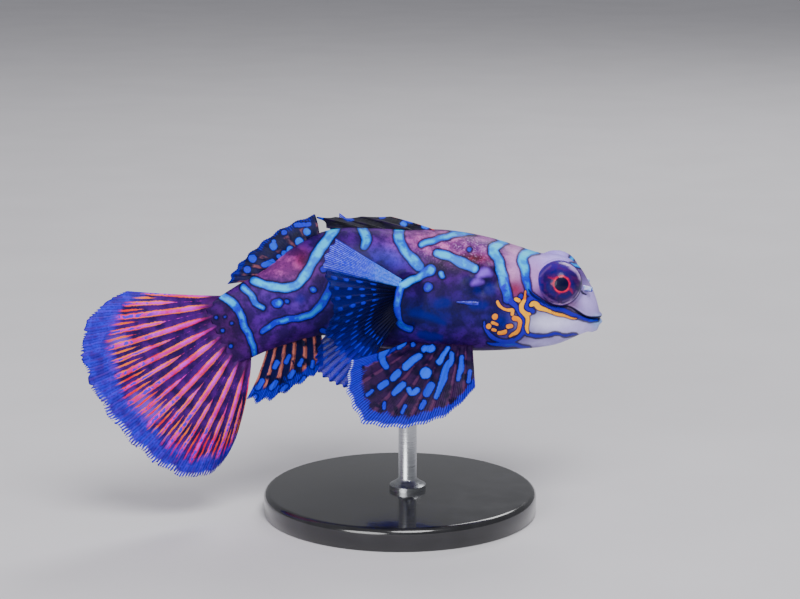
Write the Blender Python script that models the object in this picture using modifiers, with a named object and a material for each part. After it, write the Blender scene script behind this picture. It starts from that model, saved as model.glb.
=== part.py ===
"""Mandarinfish, life size, swimming with its tail bent down and to its right, on a display stand.

Sizes are millimetres, and each mesh is turned to metres as it is made. +X is ahead, -Y is the
fish's right side and +Z is up. The origin is the middle of the underside of the stand's base.
"""

import math

import bmesh
import bpy
import numpy as np
from mathutils import Matrix, Vector

MM = 0.001
GAP = 0.3

# Body: one row for each station along the midline, from the snout back.
# x, y and z of the section's centre, its half height and its half width
STATIONS = (
    (26.1, 0.0, 26.0, 0.25, 0.25),
    (25.8, 0.0, 26.2, 1.4, 1.1),
    (25.2, 0.0, 26.9, 2.6, 1.8),
    (24.4, 0.0, 27.7, 3.4, 2.4),
    (23.5, 0.0, 28.3, 4.3, 3.0),
    (22.1, 0.0, 28.6, 5.2, 3.8),
    (20.5, 0.0, 28.6, 5.8, 4.5),
    (18.2, 0.0, 28.5, 6.1, 5.3),
    (15.6, 0.0, 28.8, 6.6, 6.1),
    (11.7, 0.0, 29.3, 7.3, 6.6),
    (6.1, 0.0, 29.8, 7.8, 6.4),
    (0.0, 0.0, 29.9, 7.8, 6.0),
    (-3.9, -0.1, 30.2, 7.7, 5.6),
    (-8.4, -0.5, 30.6, 7.2, 5.0),
    (-11.8, -1.2, 29.9, 6.2, 4.4),
    (-14.4, -2.0, 28.8, 5.4, 3.8),
    (-16.8, -2.9, 27.8, 5.0, 3.2),
    (-19.0, -3.8, 26.9, 4.8, 2.4),
    (-21.1, -4.8, 25.9, 4.7, 1.2),
)
SECTION_POWER = 2.25
BELLY_WIDER = 0.14
STRAIGHT_TO = 1.0
BENT_FROM = -9.0
SLOPE_REACH = 1.5
AROUND = 32
GILL_CUT = 7.5
VENT_CUT = -9.1

# Head
EYE_CENTRE = Vector((20.55, 3.3, 31.2))
EYE_RADIUS = 2.75
EYE_LOOKS = Vector((0.10, 1.0, 0.16)).normalized()
EYE_DEPTH = 1.5
ORBIT_WALL = 0.35
ORBIT_RANGE = (-2.0, 0.35)
MOUTH_CORNER = (21.7, 27.9)
MOUTH_TIP = (26.0, 26.1)
MOUTH_BOW = 0.25
LIP_RADIUS = 0.42
LIP_SUNK = -0.1
MOUTH_GROOVE = 0.2
GROOVE_RAISED = 0.25
NOSTRIL_PLACES = ((24.35, 29.7), (22.9, 33.0))
NOSTRIL_LOOKS = Vector((0.45, 0.8, 0.45)).normalized()
NOSTRIL_RADII = (0.36, 0.27)
NOSTRIL_RANGE = (-0.6, 0.4)
NOSTRIL_BORE = 0.15
NOSTRIL_BORE_RANGE = (-0.1, 0.8)
CHEEK_SPINE_ROOT = (10.7, 26.7)
CHEEK_SPINE_SUNK = 0.35
CHEEK_SPINE = Vector((-2.7, 0.52, 1.04))
CHEEK_SPINE_RADII = (0.55, 0.12)

# Fins: a membrane with its rays raised in both faces
MEMBRANE = 0.5
RAY_CREST = 0.78
ROOT_CREST = 1.0
TIP_SHARE = 0.7
ROOT_SHARE = 0.8
FORK_AT = 0.45
RAY_CURL = 6.0

CAUDAL_RAYS = 10
CAUDAL_SPREAD = (30.0, -63.0)
CAUDAL_RAY = 19.7
CAUDAL_CORNERS = (0.40, 0.44)
CAUDAL_SWAY = 3.0
CAUDAL_WAVE = 0.5
CAUDAL_ROOT_INSET = 0.25

DORSAL_ONE_ROOT = (5.9, -7.3)
DORSAL_ONE_SPINES = (7.6, 8.2, 8.4, 7.6, 2.2)
DORSAL_ONE_RAKE = (71.0, 78.0)
DORSAL_TWO_ROOT = (-9.4, -17.3)
DORSAL_TWO_RAYS = (2.7, 2.8, 3.0, 3.2, 3.5, 3.7, 3.6, 3.0)
DORSAL_TWO_RAKE = (-6.0, 73.0)
DORSAL_LEAN = 24.0
ANAL_ROOT = (-12.1, -18.6)
ANAL_RAYS = (4.4, 5.8, 6.6, 7.5, 8.2, 8.3, 7.2)
ANAL_RAKE = (8.0, 36.0)
ANAL_LEAN = 8.0
MEDIAN_CLEAR = 0.04

PECTORAL_RAYS = 20
PECTORAL_HUB = Vector((1.2, 6.0, 29.6))
PECTORAL_LOBE = Vector((2.5, 1.0, 3.4))
PECTORAL_LOBE_OUT = 23.0
PECTORAL_OUT = (22.0, 24.0, 42.0, 52.0, 46.0, 36.0, 27.0, 22.0, 12.0)
PECTORAL_RIM = (74.0, -56.0)
PECTORAL_SPREAD = (33.0, -56.0)
PECTORAL_LENGTHS = (10.5, 10.8, 11.1, 11.8, 12.4, 12.8, 12.6, 11.6, 10.6)
PECTORAL_CUP = 0.8
PECTORAL_CUP_EDGE = 0.6

PELVIC_ROOT = (9.3, 1.4)
PELVIC_SIDE = -52.0
PELVIC_RAYS = (6.0, 10.2, 12.7, 14.4, 12.2, 8.4)
PELVIC_TURN = (-3.0, 80.0)
PELVIC_OUT = 40.0
PELVIC_BACK_OUT = 30.0
PELVIC_CUP = 0.8
PELVIC_CLEAR = 0.12

# Stand
BASE_RADIUS = 18.0
BASE_HEIGHT = 3.0
BASE_BEVEL = 0.8
ROD_X = 1.0
ROD_RADIUS = 1.2
CRADLE_RADIUS = 2.4
CRADLE_RIM = 0.36
CRADLE_HEIGHT = 1.2
COLLAR_RADIUS = 2.4
COLLAR_HEIGHTS = (0.6, 1.0)

COLOURS = {
    "skin": (0.20, 0.10, 0.20, 0.45, 0.0),
    "fin": (0.05, 0.06, 0.45, 0.45, 0.0),
    "caudal": (0.45, 0.12, 0.35, 0.45, 0.0),
    "eye": (0.10, 0.05, 0.25, 0.12, 0.0),
    "base": (0.02, 0.02, 0.025, 0.3, 0.0),
    "rod": (0.60, 0.60, 0.62, 0.25, 1.0),
}


def clear_scene():
    for obj in list(bpy.data.objects):
        bpy.data.objects.remove(obj, do_unlink=True)


def new_collection(name, hidden):
    collection = bpy.data.collections.new(name)
    bpy.context.scene.collection.children.link(collection)
    collection.hide_render = hidden
    return collection


def material(name):
    red, green, blue, roughness, metallic = COLOURS[name]
    found = bpy.data.materials.get(name)
    if found is None:
        found = bpy.data.materials.new(name)
        found.use_nodes = True
        shader = found.node_tree.nodes["Principled BSDF"]
        shader.inputs["Base Color"].default_value = (red, green, blue, 1.0)
        shader.inputs["Roughness"].default_value = roughness
        shader.inputs["Metallic"].default_value = metallic
    return found


def finish_mesh(bm, name, colour, collection):
    """Turns a bmesh in millimetres into a smooth-shaded object in metres."""
    bmesh.ops.transform(bm, matrix=Matrix.Scale(MM, 4), verts=bm.verts)
    mesh = bpy.data.meshes.new(name)
    bm.to_mesh(mesh)
    bm.free()
    mesh.shade_smooth()
    mesh.set_sharp_from_angle(angle=math.radians(50))
    mesh.materials.append(material(colour))
    obj = bpy.data.objects.new(name, mesh)
    collection.objects.link(obj)
    return obj


def largest_surface(mesh):
    """Keeps only the closed surface with the most volume."""
    bm = bmesh.new()
    bm.from_mesh(mesh)
    left = set(bm.verts)
    surfaces = []
    while left:
        surface = {left.pop()}
        edge_of_it = list(surface)
        while edge_of_it:
            vert = edge_of_it.pop()
            for edge in vert.link_edges:
                other = edge.other_vert(vert)
                if other not in surface:
                    surface.add(other)
                    edge_of_it.append(other)
        left -= surface
        surfaces.append(surface)
    surfaces.sort(key=len, reverse=True)
    for scrap in surfaces[1:]:
        bmesh.ops.delete(bm, geom=list(scrap), context="VERTS")
    bm.to_mesh(mesh)
    bm.free()


def join_and_cut(obj, pieces, cutters):
    """Joins the pieces to the object by one Boolean union, takes the cutters out and applies both."""
    for name, helpers, operation in (("join", pieces, "UNION"), ("cut", cutters, "DIFFERENCE")):
        if not helpers:
            continue
        group = new_collection(f"{obj.name} {name}", hidden=True)
        for helper in helpers:
            helper.users_collection[0].objects.unlink(helper)
            group.objects.link(helper)
        boolean = obj.modifiers.new(name, "BOOLEAN")
        boolean.operand_type = "COLLECTION"
        boolean.collection = group
        boolean.operation = operation
        boolean.solver = "EXACT"
    bpy.context.view_layer.update()
    graph = bpy.context.evaluated_depsgraph_get()
    mesh = bpy.data.meshes.new_from_object(obj.evaluated_get(graph))
    obj.modifiers.clear()
    obj.data = mesh
    largest_surface(mesh)
    for helper in [*pieces, *cutters]:
        bpy.data.objects.remove(helper, do_unlink=True)
    return obj


def station_values(x):
    """The columns of STATIONS at x, on a cubic through them."""
    rows = np.array(STATIONS)[::-1]
    xs = rows[:, 0]
    x = min(max(x, xs[0]), xs[-1])
    i = min(max(int(np.searchsorted(xs, x)) - 1, 0), len(xs) - 2)
    slopes = np.gradient(rows, xs, axis=0)
    span = xs[i + 1] - xs[i]
    t = (x - xs[i]) / span
    return (
        (1 + 2 * t) * (1 - t) ** 2 * rows[i]
        + t * (1 - t) ** 2 * span * slopes[i]
        + t * t * (3 - 2 * t) * rows[i + 1]
        + t * t * (t - 1) * span * slopes[i + 1]
    )


def section(x):
    """Centre, backward, sideways (to the fish's left) and upward directions, half height and half width."""
    _, y, z, half_height, half_width = station_values(x)
    ahead = station_values(min(x + SLOPE_REACH, STATIONS[0][0]))
    behind = station_values(max(x - SLOPE_REACH, STATIONS[-1][0]))
    bent = min(max((STRAIGHT_TO - x) / (STRAIGHT_TO - BENT_FROM), 0.0), 1.0)
    slope = (behind - ahead) / (ahead[0] - behind[0]) * bent
    backward = Vector((-1.0, slope[1], slope[2])).normalized()
    sideways = Vector((0.0, 0.0, 1.0)).cross(-backward).normalized()
    upward = sideways.cross(backward).normalized()
    if upward.z < 0:
        upward.negate()
    return Vector((x, y, z)), backward, sideways, upward, half_height, half_width


def power(value, exponent):
    return math.copysign(abs(value) ** exponent, value)


def body_point(x, angle, lift=0.0):
    """The skin at station x, at an angle in degrees from the fish's left side upwards, raised by lift."""
    centre, _, sideways, upward, half_height, half_width = section(x)
    turn = math.radians(angle)
    across = power(math.cos(turn), 2 / SECTION_POWER)
    up = power(math.sin(turn), 2 / SECTION_POWER)
    across *= 1 - BELLY_WIDER * up
    offset = sideways * (across * half_width) + upward * (up * half_height)
    normal = sideways * (across * half_height) + upward * (up * half_width)
    return centre + offset + normal.normalized() * lift


def flank_y(x, z):
    """How far the skin of the straight, forward part of the body lies from its middle at x and z."""
    centre, _, _, _, half_height, half_width = section(x)
    up = min(max((z - centre.z) / half_height, -1.0), 1.0)
    across = (1 - abs(up) ** SECTION_POWER) ** (1 / SECTION_POWER)
    return half_width * across * (1 - BELLY_WIDER * up)


def grid_surface(across, along, place):
    """A grid of faces whose points are place(a, t), with a and t from 0 to 1."""
    bm = bmesh.new()
    bmesh.ops.create_grid(bm, x_segments=across, y_segments=along, size=0.5)
    for vert in bm.verts:
        vert.co = place(vert.co.x + 0.5, vert.co.y + 0.5)
    return bm


def body_length(name, start, end, rings, collection, crowded=1.0):
    """A closed length of the body, held back by half a gap where it is cut from the next length.

    Its rings of points crowd towards the start if crowded is over 1.
    """

    def place(around, along):
        x = start + (end - start) * along**crowded
        point = body_point(x, 360 * around)
        if any(abs(x - cut) < 1e-6 for cut in (GILL_CUT, VENT_CUT)):
            point += section(x)[1] * (GAP / 2 if along < 0.5 else -GAP / 2)
        return point

    bm = grid_surface(AROUND, rings, place)
    bmesh.ops.remove_doubles(bm, verts=bm.verts, dist=0.001)
    bmesh.ops.holes_fill(bm, edges=bm.edges)
    bmesh.ops.triangulate(bm, faces=[face for face in bm.faces if len(face.verts) > 4])
    bmesh.ops.recalc_face_normals(bm, faces=bm.faces)
    return finish_mesh(bm, name, "skin", collection)


def tube(name, points, radius, collection, colour="skin"):
    """A closed round tube along a curve through the points."""
    curve = bpy.data.curves.new(name, "CURVE")
    curve.dimensions = "3D"
    curve.bevel_depth = radius * MM
    curve.bevel_resolution = 2
    curve.use_fill_caps = True
    spline = curve.splines.new("POLY")
    spline.points.add(len(points) - 1)
    for slot, point in zip(spline.points, points):
        slot.co = (*(point * MM), 1.0)
    guide = bpy.data.objects.new(name, curve)
    collection.objects.link(guide)
    bpy.context.view_layer.update()
    graph = bpy.context.evaluated_depsgraph_get()
    mesh = bpy.data.meshes.new_from_object(guide.evaluated_get(graph))
    bpy.data.objects.remove(guide, do_unlink=True)
    bpy.data.curves.remove(curve)
    bm = bmesh.new()
    bm.from_mesh(mesh)
    bmesh.ops.remove_doubles(bm, verts=bm.verts, dist=0.01 * MM)
    bmesh.ops.recalc_face_normals(bm, faces=bm.faces)
    bm.to_mesh(mesh)
    bm.free()
    obj = bpy.data.objects.new(name, mesh)
    mesh.materials.clear()
    mesh.materials.append(material(colour))
    collection.objects.link(obj)
    return obj


def mirrored(vector, side):
    """The vector on the fish's left for a side of 1, or mirrored to its right for -1."""
    return Vector((vector.x, side * vector.y, vector.z))


def aim(direction):
    """A rotation that turns +Z to the direction."""
    return direction.to_track_quat("Z", "Y").to_matrix().to_4x4()


def ball(name, centre, radii, turn, collection, segments=20, rings=12):
    bm = bmesh.new()
    bmesh.ops.create_uvsphere(bm, u_segments=segments, v_segments=rings, radius=1.0)
    matrix = Matrix.Translation(centre) @ turn @ Matrix.Diagonal((*radii, 1.0))
    bmesh.ops.transform(bm, matrix=matrix, verts=bm.verts)
    return finish_mesh(bm, name, "skin", collection)


def cone(name, start, end, start_radius, end_radius, collection, sides=10):
    direction = end - start
    bm = bmesh.new()
    bmesh.ops.create_cone(
        bm,
        cap_ends=True,
        segments=sides,
        radius1=start_radius,
        radius2=end_radius,
        depth=direction.length,
    )
    matrix = Matrix.Translation((start + end) / 2) @ aim(direction)
    bmesh.ops.transform(bm, matrix=matrix, verts=bm.verts)
    return finish_mesh(bm, name, "skin", collection)


def capped_ball(name, side, radius, floor, ceiling, collection, colour="skin", segments=20, rings=12):
    """A ball at an eye's place, cut across its axis so that it keeps what lies from floor to ceiling."""
    axis = mirrored(EYE_LOOKS, side)
    centre = mirrored(EYE_CENTRE, side)
    bm = bmesh.new()
    bmesh.ops.create_uvsphere(bm, u_segments=segments, v_segments=rings, radius=radius)
    bmesh.ops.transform(bm, matrix=Matrix.Translation(centre) @ aim(axis), verts=bm.verts)
    for height, normal in ((floor, -axis), (ceiling, axis)):
        if height is None:
            continue
        bmesh.ops.bisect_plane(
            bm,
            geom=[*bm.verts, *bm.edges, *bm.faces],
            plane_co=centre + axis * height,
            plane_no=normal,
            clear_outer=True,
        )
        bmesh.ops.holes_fill(bm, edges=bm.edges)
    bmesh.ops.triangulate(bm, faces=[face for face in bm.faces if len(face.verts) > 4])
    bmesh.ops.recalc_face_normals(bm, faces=bm.faces)
    return finish_mesh(bm, name, colour, collection)


def mouth_line(rise, lift, turns=9):
    """Points along the mouth from its left corner round the snout to its right corner."""
    points = []
    for i in range(-turns, turns + 1):
        share = abs(i) / turns
        ahead = 1 - share**1.7
        x = MOUTH_CORNER[0] + (MOUTH_TIP[0] - MOUTH_CORNER[0]) * ahead
        z = MOUTH_CORNER[1] + (MOUTH_TIP[1] - MOUTH_CORNER[1]) * ahead
        z += rise - MOUTH_BOW * math.sin(math.pi * ahead)
        y = math.copysign(flank_y(min(x, MOUTH_TIP[0] - 0.05), z) + lift, i) if i else 0.0
        points.append(Vector((x + lift, y, z)))
    return points


def build_head(model, helpers):
    head = body_length("head", STATIONS[0][0], GILL_CUT, 26, model, crowded=1.5)
    pieces = [
        tube("upper lip", mouth_line(LIP_RADIUS, LIP_SUNK), LIP_RADIUS, helpers),
        tube("lower lip", mouth_line(-LIP_RADIUS, LIP_SUNK), LIP_RADIUS, helpers),
    ]
    cutters = [tube("mouth", mouth_line(0.0, GROOVE_RAISED), MOUTH_GROOVE, helpers)]
    for side in (1, -1):
        pieces.append(
            capped_ball("orbit", side, EYE_RADIUS + GAP + ORBIT_WALL, *ORBIT_RANGE, helpers)
        )
        cutters.append(capped_ball("socket", side, EYE_RADIUS + GAP, -EYE_DEPTH - GAP, None, helpers))
        for x, z in NOSTRIL_PLACES:
            out = mirrored(NOSTRIL_LOOKS, side)
            foot = Vector((x, side * flank_y(x, z), z))
            start, end = (foot + out * reach for reach in NOSTRIL_RANGE)
            pieces.append(cone("nostril", start, end, *NOSTRIL_RADII, helpers))
            start, end = (foot + out * reach for reach in NOSTRIL_BORE_RANGE)
            cutters.append(cone("bore", start, end, NOSTRIL_BORE, NOSTRIL_BORE, helpers))
        x, z = CHEEK_SPINE_ROOT
        foot = Vector((x, side * (flank_y(x, z) - CHEEK_SPINE_SUNK), z))
        tip = foot + mirrored(CHEEK_SPINE, side)
        pieces.append(cone("spine", foot, tip, *CHEEK_SPINE_RADII, helpers))
    return join_and_cut(head, pieces, cutters)


def pectoral_back(side, out):
    """The level direction that points back, turned out from the flank by an angle in degrees."""
    turn = math.radians(out)
    return Vector((-math.cos(turn), side * math.sin(turn), 0.0))


def build_trunk(model, helpers):
    trunk = body_length("trunk", GILL_CUT, VENT_CUT, 18, model)
    lobes = []
    for side in (1, -1):
        back = pectoral_back(side, PECTORAL_LOBE_OUT)
        up = Vector((0.0, 0.0, 1.0))
        turn = Matrix((back, up.cross(back), up)).transposed().to_4x4()
        lobes.append(ball("lobe", mirrored(PECTORAL_HUB, side), PECTORAL_LOBE, turn, helpers))
    return join_and_cut(trunk, lobes, [])


def build_eyes(model):
    for name, side in (("eye_left", 1), ("eye_right", -1)):
        capped_ball(name, side, EYE_RADIUS, -EYE_DEPTH, None, model, "eye")


def fin(name, rays, rows, root, ray, colour, collection, forks=False, notch=0.05):
    """A fin as a thin curved grid, thickened on both faces alike and thicker along each ray.

    root(a) is where the ray at share a starts, and ray(a, t) is how far it has gone at share t.
    """
    per_ray = 4 if forks else 2
    columns = per_ray * (rays - 1)

    def place(a, t):
        column = round(a * columns)
        crest = column % 4 in (1, 3) if forks else column % 2 == 0
        reach = t if crest or column in (0, columns) else t * (1 - notch)
        return root(a) + ray(a, reach)

    bm = grid_surface(columns, rows, place)
    bm.verts.ensure_lookup_table()
    bmesh.ops.triangulate(bm, faces=bm.faces)
    obj = finish_mesh(bm, name, colour, collection)
    group = obj.vertex_groups.new(name="thickness")
    for index in range(len(obj.data.vertices)):
        column, row = index % (columns + 1), index // (columns + 1)
        t = row / rows
        if forks and t > FORK_AT:
            crest = column % 4 in (1, 3)
        else:
            crest = column % per_ray == 0
        wanted = MEMBRANE
        if crest:
            wanted = RAY_CREST + (ROOT_CREST - RAY_CREST) * (1 - t)
        if row == rows:
            wanted = MEMBRANE * TIP_SHARE
        if row == 0:
            wanted = ROOT_CREST * ROOT_SHARE
        group.add([index], wanted / ROOT_CREST, "REPLACE")
    solid = obj.modifiers.new("thickness", "SOLIDIFY")
    solid.thickness = ROOT_CREST * MM
    solid.offset = 0.0
    solid.vertex_group = group.name
    solid.use_even_offset = False
    return obj


def between(pair, share):
    return pair[0] + (pair[1] - pair[0]) * share


def read_along(values, share):
    """A value read off a row of evenly spaced ones."""
    return float(np.interp(share * (len(values) - 1), range(len(values)), values))


def median_fin(name, root_x, lengths, rake, lean, up, colour, model, rows):
    """A fin on the body's midline: up is 1 on the back and -1 on the belly."""

    def root(a):
        return body_point(between(root_x, a), 90 * up, GAP + MEDIAN_CLEAR)

    def ray(a, t):
        _, backward, sideways, upward, _, _ = section(between(root_x, a))
        tilt = math.radians(between(rake, a) + RAY_CURL * t)
        side = math.tan(math.radians(lean)) * t
        direction = upward * (up * math.cos(tilt)) + backward * math.sin(tilt) + sideways * side
        return direction.normalized() * (read_along(lengths, a) * t)

    return fin(name, len(lengths), rows, root, ray, colour, model)


def build_caudal(model):
    centre, backward, sideways, upward, half_height, _ = section(STATIONS[-1][0])
    reach = half_height - CAUDAL_ROOT_INSET

    def root(a):
        return centre + upward * (reach * (1 - 2 * a)) + backward * GAP

    def ray(a, t):
        turn = math.radians(between(CAUDAL_SPREAD, a))
        length = CAUDAL_RAY * (1 - between(CAUDAL_CORNERS, a) * abs(2 * a - 1) ** 5) * t
        sway = CAUDAL_SWAY * t * t + CAUDAL_WAVE * math.sin(2 * math.pi * a) * t
        return (backward * math.cos(turn) + upward * math.sin(turn)) * length + sideways * sway

    return fin("fin_caudal", CAUDAL_RAYS, 11, root, ray, "caudal", model, forks=True, notch=0.04)


def build_pectorals(model):
    for name, side in (("fin_pectoral_left", 1), ("fin_pectoral_right", -1)):
        hub = mirrored(PECTORAL_HUB, side)
        up = Vector((0.0, 0.0, 1.0))
        outward = Vector((0.0, side, 0.0))

        def direction(a):
            turn = math.radians(between(PECTORAL_SPREAD, a))
            back = pectoral_back(side, read_along(PECTORAL_OUT, a))
            return back * math.cos(turn) + up * math.sin(turn)

        def root(a):
            turn = math.radians(between(PECTORAL_RIM, a))
            on_rim = 1 / math.hypot(
                math.cos(turn) / PECTORAL_LOBE.x, math.sin(turn) / PECTORAL_LOBE.z
            )
            back = pectoral_back(side, PECTORAL_LOBE_OUT)
            return hub + (back * math.cos(turn) + up * math.sin(turn)) * (on_rim + GAP)

        def ray(a, t):
            cup = PECTORAL_CUP * (math.cos(math.pi * (a - 0.5)) - PECTORAL_CUP_EDGE) * t * t
            length = read_along(PECTORAL_LENGTHS, a)
            return direction(a) * (length * t) + outward * cup

        fin(name, PECTORAL_RAYS, 6, root, ray, "fin", model, notch=0.03)


def build_pelvics(model):
    out, back_out = math.radians(PELVIC_OUT), math.radians(PELVIC_BACK_OUT)
    down = Vector((0.0, math.sin(out), -math.cos(out)))
    back = Vector((-math.cos(back_out), math.sin(back_out), 0.0))
    for name, side in (("fin_pelvic_left", 1), ("fin_pelvic_right", -1)):

        def root(a):
            x = between(PELVIC_ROOT, a)
            return mirrored(body_point(x, PELVIC_SIDE, GAP + PELVIC_CLEAR), side)

        def ray(a, t):
            turn = math.radians(between(PELVIC_TURN, a))
            direction = down * math.cos(turn) + back * math.sin(turn)
            cup = PELVIC_CUP * math.sin(math.pi * t) * Vector((0.0, 1.0, 0.0))
            return mirrored(direction * (read_along(PELVIC_RAYS, a) * t) + cup, side)

        fin(name, len(PELVIC_RAYS), 9, root, ray, "fin", model, forks=True, notch=0.05)


def turned(name, profile, colour, collection, steps=48):
    """A solid of revolution about a vertical axis, from a profile of radius and height run downwards."""
    bm = bmesh.new()
    verts = [bm.verts.new((radius, 0.0, height)) for radius, height in profile]
    for first, second in zip(verts, verts[1:]):
        bm.edges.new((first, second))
    obj = finish_mesh(bm, name, colour, collection)
    screw = obj.modifiers.new("turn", "SCREW")
    screw.steps = steps
    screw.render_steps = steps
    screw.use_merge_vertices = True
    screw.merge_threshold = 0.00001
    screw.use_smooth_shade = True
    return obj


def build_stand(model):
    edge = BASE_RADIUS - BASE_BEVEL
    bevel = [
        (edge + BASE_BEVEL * math.sin(turn), BASE_HEIGHT - BASE_BEVEL * (1 - math.cos(turn)))
        for turn in np.linspace(0, math.pi / 2, 5)
    ]
    turned("stand_base", [(0.0, BASE_HEIGHT), *bevel, (BASE_RADIUS, 0.0), (0.0, 0.0)], "base", model)
    belly = body_point(ROD_X, -90).z
    top = belly - GAP
    foot = BASE_HEIGHT + GAP
    rod = turned(
        "stand_rod",
        [
            (0.0, top),
            (CRADLE_RADIUS, top),
            (CRADLE_RADIUS, top - CRADLE_RIM),
            (ROD_RADIUS, top - CRADLE_HEIGHT),
            (ROD_RADIUS, foot + COLLAR_HEIGHTS[1]),
            (COLLAR_RADIUS, foot + COLLAR_HEIGHTS[0]),
            (COLLAR_RADIUS, foot),
            (0.0, foot),
        ],
        "rod",
        model,
        steps=24,
    )
    rod.location.x = ROD_X * MM


def main():
    clear_scene()
    model = new_collection("Mandarinfish", hidden=False)
    helpers = new_collection("Helpers", hidden=True)
    build_head(model, helpers)
    build_trunk(model, helpers)
    body_length("tail", VENT_CUT, STATIONS[-1][0], 15, model)
    build_eyes(model)
    median_fin(
        "fin_dorsal_first", DORSAL_ONE_ROOT, DORSAL_ONE_SPINES, DORSAL_ONE_RAKE,
        DORSAL_LEAN, 1, "fin", model, rows=7,
    )
    median_fin(
        "fin_dorsal_second", DORSAL_TWO_ROOT, DORSAL_TWO_RAYS, DORSAL_TWO_RAKE,
        DORSAL_LEAN, 1, "fin", model, rows=8,
    )
    median_fin(
        "fin_anal", ANAL_ROOT, ANAL_RAYS, ANAL_RAKE, ANAL_LEAN, -1, "fin", model, rows=8,
    )
    build_caudal(model)
    build_pectorals(model)
    build_pelvics(model)
    build_stand(model)


main()
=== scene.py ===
import math

import bmesh
import bpy
import numpy as np
from mathutils import Matrix, Vector


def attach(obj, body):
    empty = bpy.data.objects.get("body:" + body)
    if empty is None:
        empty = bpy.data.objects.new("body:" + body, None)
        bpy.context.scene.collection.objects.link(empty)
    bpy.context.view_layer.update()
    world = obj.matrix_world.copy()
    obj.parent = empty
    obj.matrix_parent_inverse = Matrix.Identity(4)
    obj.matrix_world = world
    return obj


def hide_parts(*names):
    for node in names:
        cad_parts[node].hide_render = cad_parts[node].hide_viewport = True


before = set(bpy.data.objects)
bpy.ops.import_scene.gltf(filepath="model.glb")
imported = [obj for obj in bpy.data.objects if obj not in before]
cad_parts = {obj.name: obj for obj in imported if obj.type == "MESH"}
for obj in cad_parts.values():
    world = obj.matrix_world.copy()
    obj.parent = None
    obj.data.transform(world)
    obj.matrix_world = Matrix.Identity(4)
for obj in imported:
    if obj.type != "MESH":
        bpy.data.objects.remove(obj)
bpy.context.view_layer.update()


# The photo's view: a camera 300 mm off on the fish's right side, looking down by 12 degrees.
# The markings further down are placed where this view shows them, in pixels of the photo.
# Lengths are millimetres up to the point where a mesh is made.
MM = 0.001
VIEW_TARGET = np.array((0.0, 0.0, 28.51))
VIEW_DISTANCE = 300.0
VIEW_DOWN = math.radians(12)
PIXEL = 0.13
PHOTO_WIDTH = 800
SENSOR = 36.0

view_ahead = np.array((0.0, math.cos(VIEW_DOWN), -math.sin(VIEW_DOWN)))
view_place = VIEW_TARGET - view_ahead * VIEW_DISTANCE


def in_scene(name, data):
    obj = bpy.data.objects.new(name, data)
    bpy.context.scene.collection.objects.link(obj)
    return obj


camera_data = bpy.data.cameras.new("photo camera")
camera_data.sensor_width = SENSOR
camera_data.lens = SENSOR * VIEW_DISTANCE / (PHOTO_WIDTH * PIXEL)
camera_data.clip_start = 0.01
camera = in_scene("photo camera", camera_data)
camera.location = view_place * MM
camera.rotation_euler = (math.pi / 2 - VIEW_DOWN, 0.0, 0.0)
bpy.context.scene.camera = camera


# The skin: one closed surface for the head, trunk and tail, of painted and varnished resin.
# It is a fine loft through the body's sections, with eye sockets, lips and fin lobes raised in it.
STATIONS = (  # x, y and z of the section's centre, half height, half width
    (26.1, 0.0, 26.0, 0.25, 0.25),
    (25.8, 0.0, 26.2, 1.4, 1.1),
    (25.2, 0.0, 26.9, 2.6, 1.8),
    (24.4, 0.0, 27.7, 3.4, 2.4),
    (23.5, 0.0, 28.3, 4.3, 3.0),
    (22.1, 0.0, 28.6, 5.2, 3.8),
    (20.5, 0.0, 28.6, 5.8, 4.5),
    (18.2, 0.0, 28.5, 6.1, 5.3),
    (15.6, 0.0, 28.8, 6.6, 6.1),
    (11.7, 0.0, 29.3, 7.3, 6.6),
    (6.1, 0.0, 29.8, 7.8, 6.4),
    (0.0, 0.0, 29.9, 7.8, 6.0),
    (-3.9, -0.1, 30.2, 7.7, 5.6),
    (-8.4, -0.5, 30.6, 7.2, 5.0),
    (-11.8, -1.2, 29.9, 6.2, 4.4),
    (-14.4, -2.0, 28.8, 5.4, 3.8),
    (-16.8, -2.9, 27.8, 5.0, 3.2),
    (-19.0, -3.8, 26.9, 4.8, 2.4),
    (-21.1, -4.8, 25.9, 4.7, 1.2),
)
SECTION_POWER = 2.25
BELLY_WIDER = 0.14
STRAIGHT_TO = 1.0
BENT_FROM = -9.0
SLOPE_REACH = 1.5
SNOUT = STATIONS[0][0]
TAIL_END = STATIONS[-1][0]
HEAD_END = 7.5
AROUND = 264
HEAD_RINGS = 200
BODY_RINGS = 150
END_RINGS = 14
END_LENGTH = 2.6
END_FLATTER = 0.94

EYE_CENTRE = np.array((20.4, 3.3, 31.35))
EYE_LOOKS = np.array((0.05, 1.0, 0.16)) / np.linalg.norm((0.05, 1.0, 0.16))
SOCKET_RADIUS = 3.12
SOCKET_OPEN = math.radians(85)
SOCKET_EDGE = math.radians(8)
SOCKET_FADE = (1.12, 1.4)  # where its hold on the skin fades, in socket radii
SOCKET_SPREAD = 5
LOBE_SPREAD = 3
UNDER_EYE = 2.4
SIDES_CROWDED = 0.18

MOUTH_CORNER = (21.3, 28.5)
MOUTH_TIP = (26.0, 26.1)
MOUTH_BOW = 0.35
LIP_OFFSET = 0.42
LIP_WIDTH = 0.27
LIP_RAISED = 0.26
MOUTH_WIDTH = 0.09
MOUTH_DEPTH = 0.3
LIPS_FROM = (-0.3, 1.6)  # where the lips rise, ahead of the mouth's corner
SLIT_FROM = (-0.3, 0.5)

PECTORAL_HUB = np.array((1.2, 6.0, 29.6))
PECTORAL_LOBE = (2.5, 1.0, 3.4)
PECTORAL_LOBE_OUT = 23.0

GILL_LOBES = (  # x, z, reach, height
    (11.1, 33.4, 0.85, 0.8),
    (10.0, 32.4, 0.5, 0.5),
    (8.9, 32.5, 0.9, 0.35),
    (12.4, 32.3, 0.9, -0.3),
    (10.6, 31.2, 0.9, -0.35),
)


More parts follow.
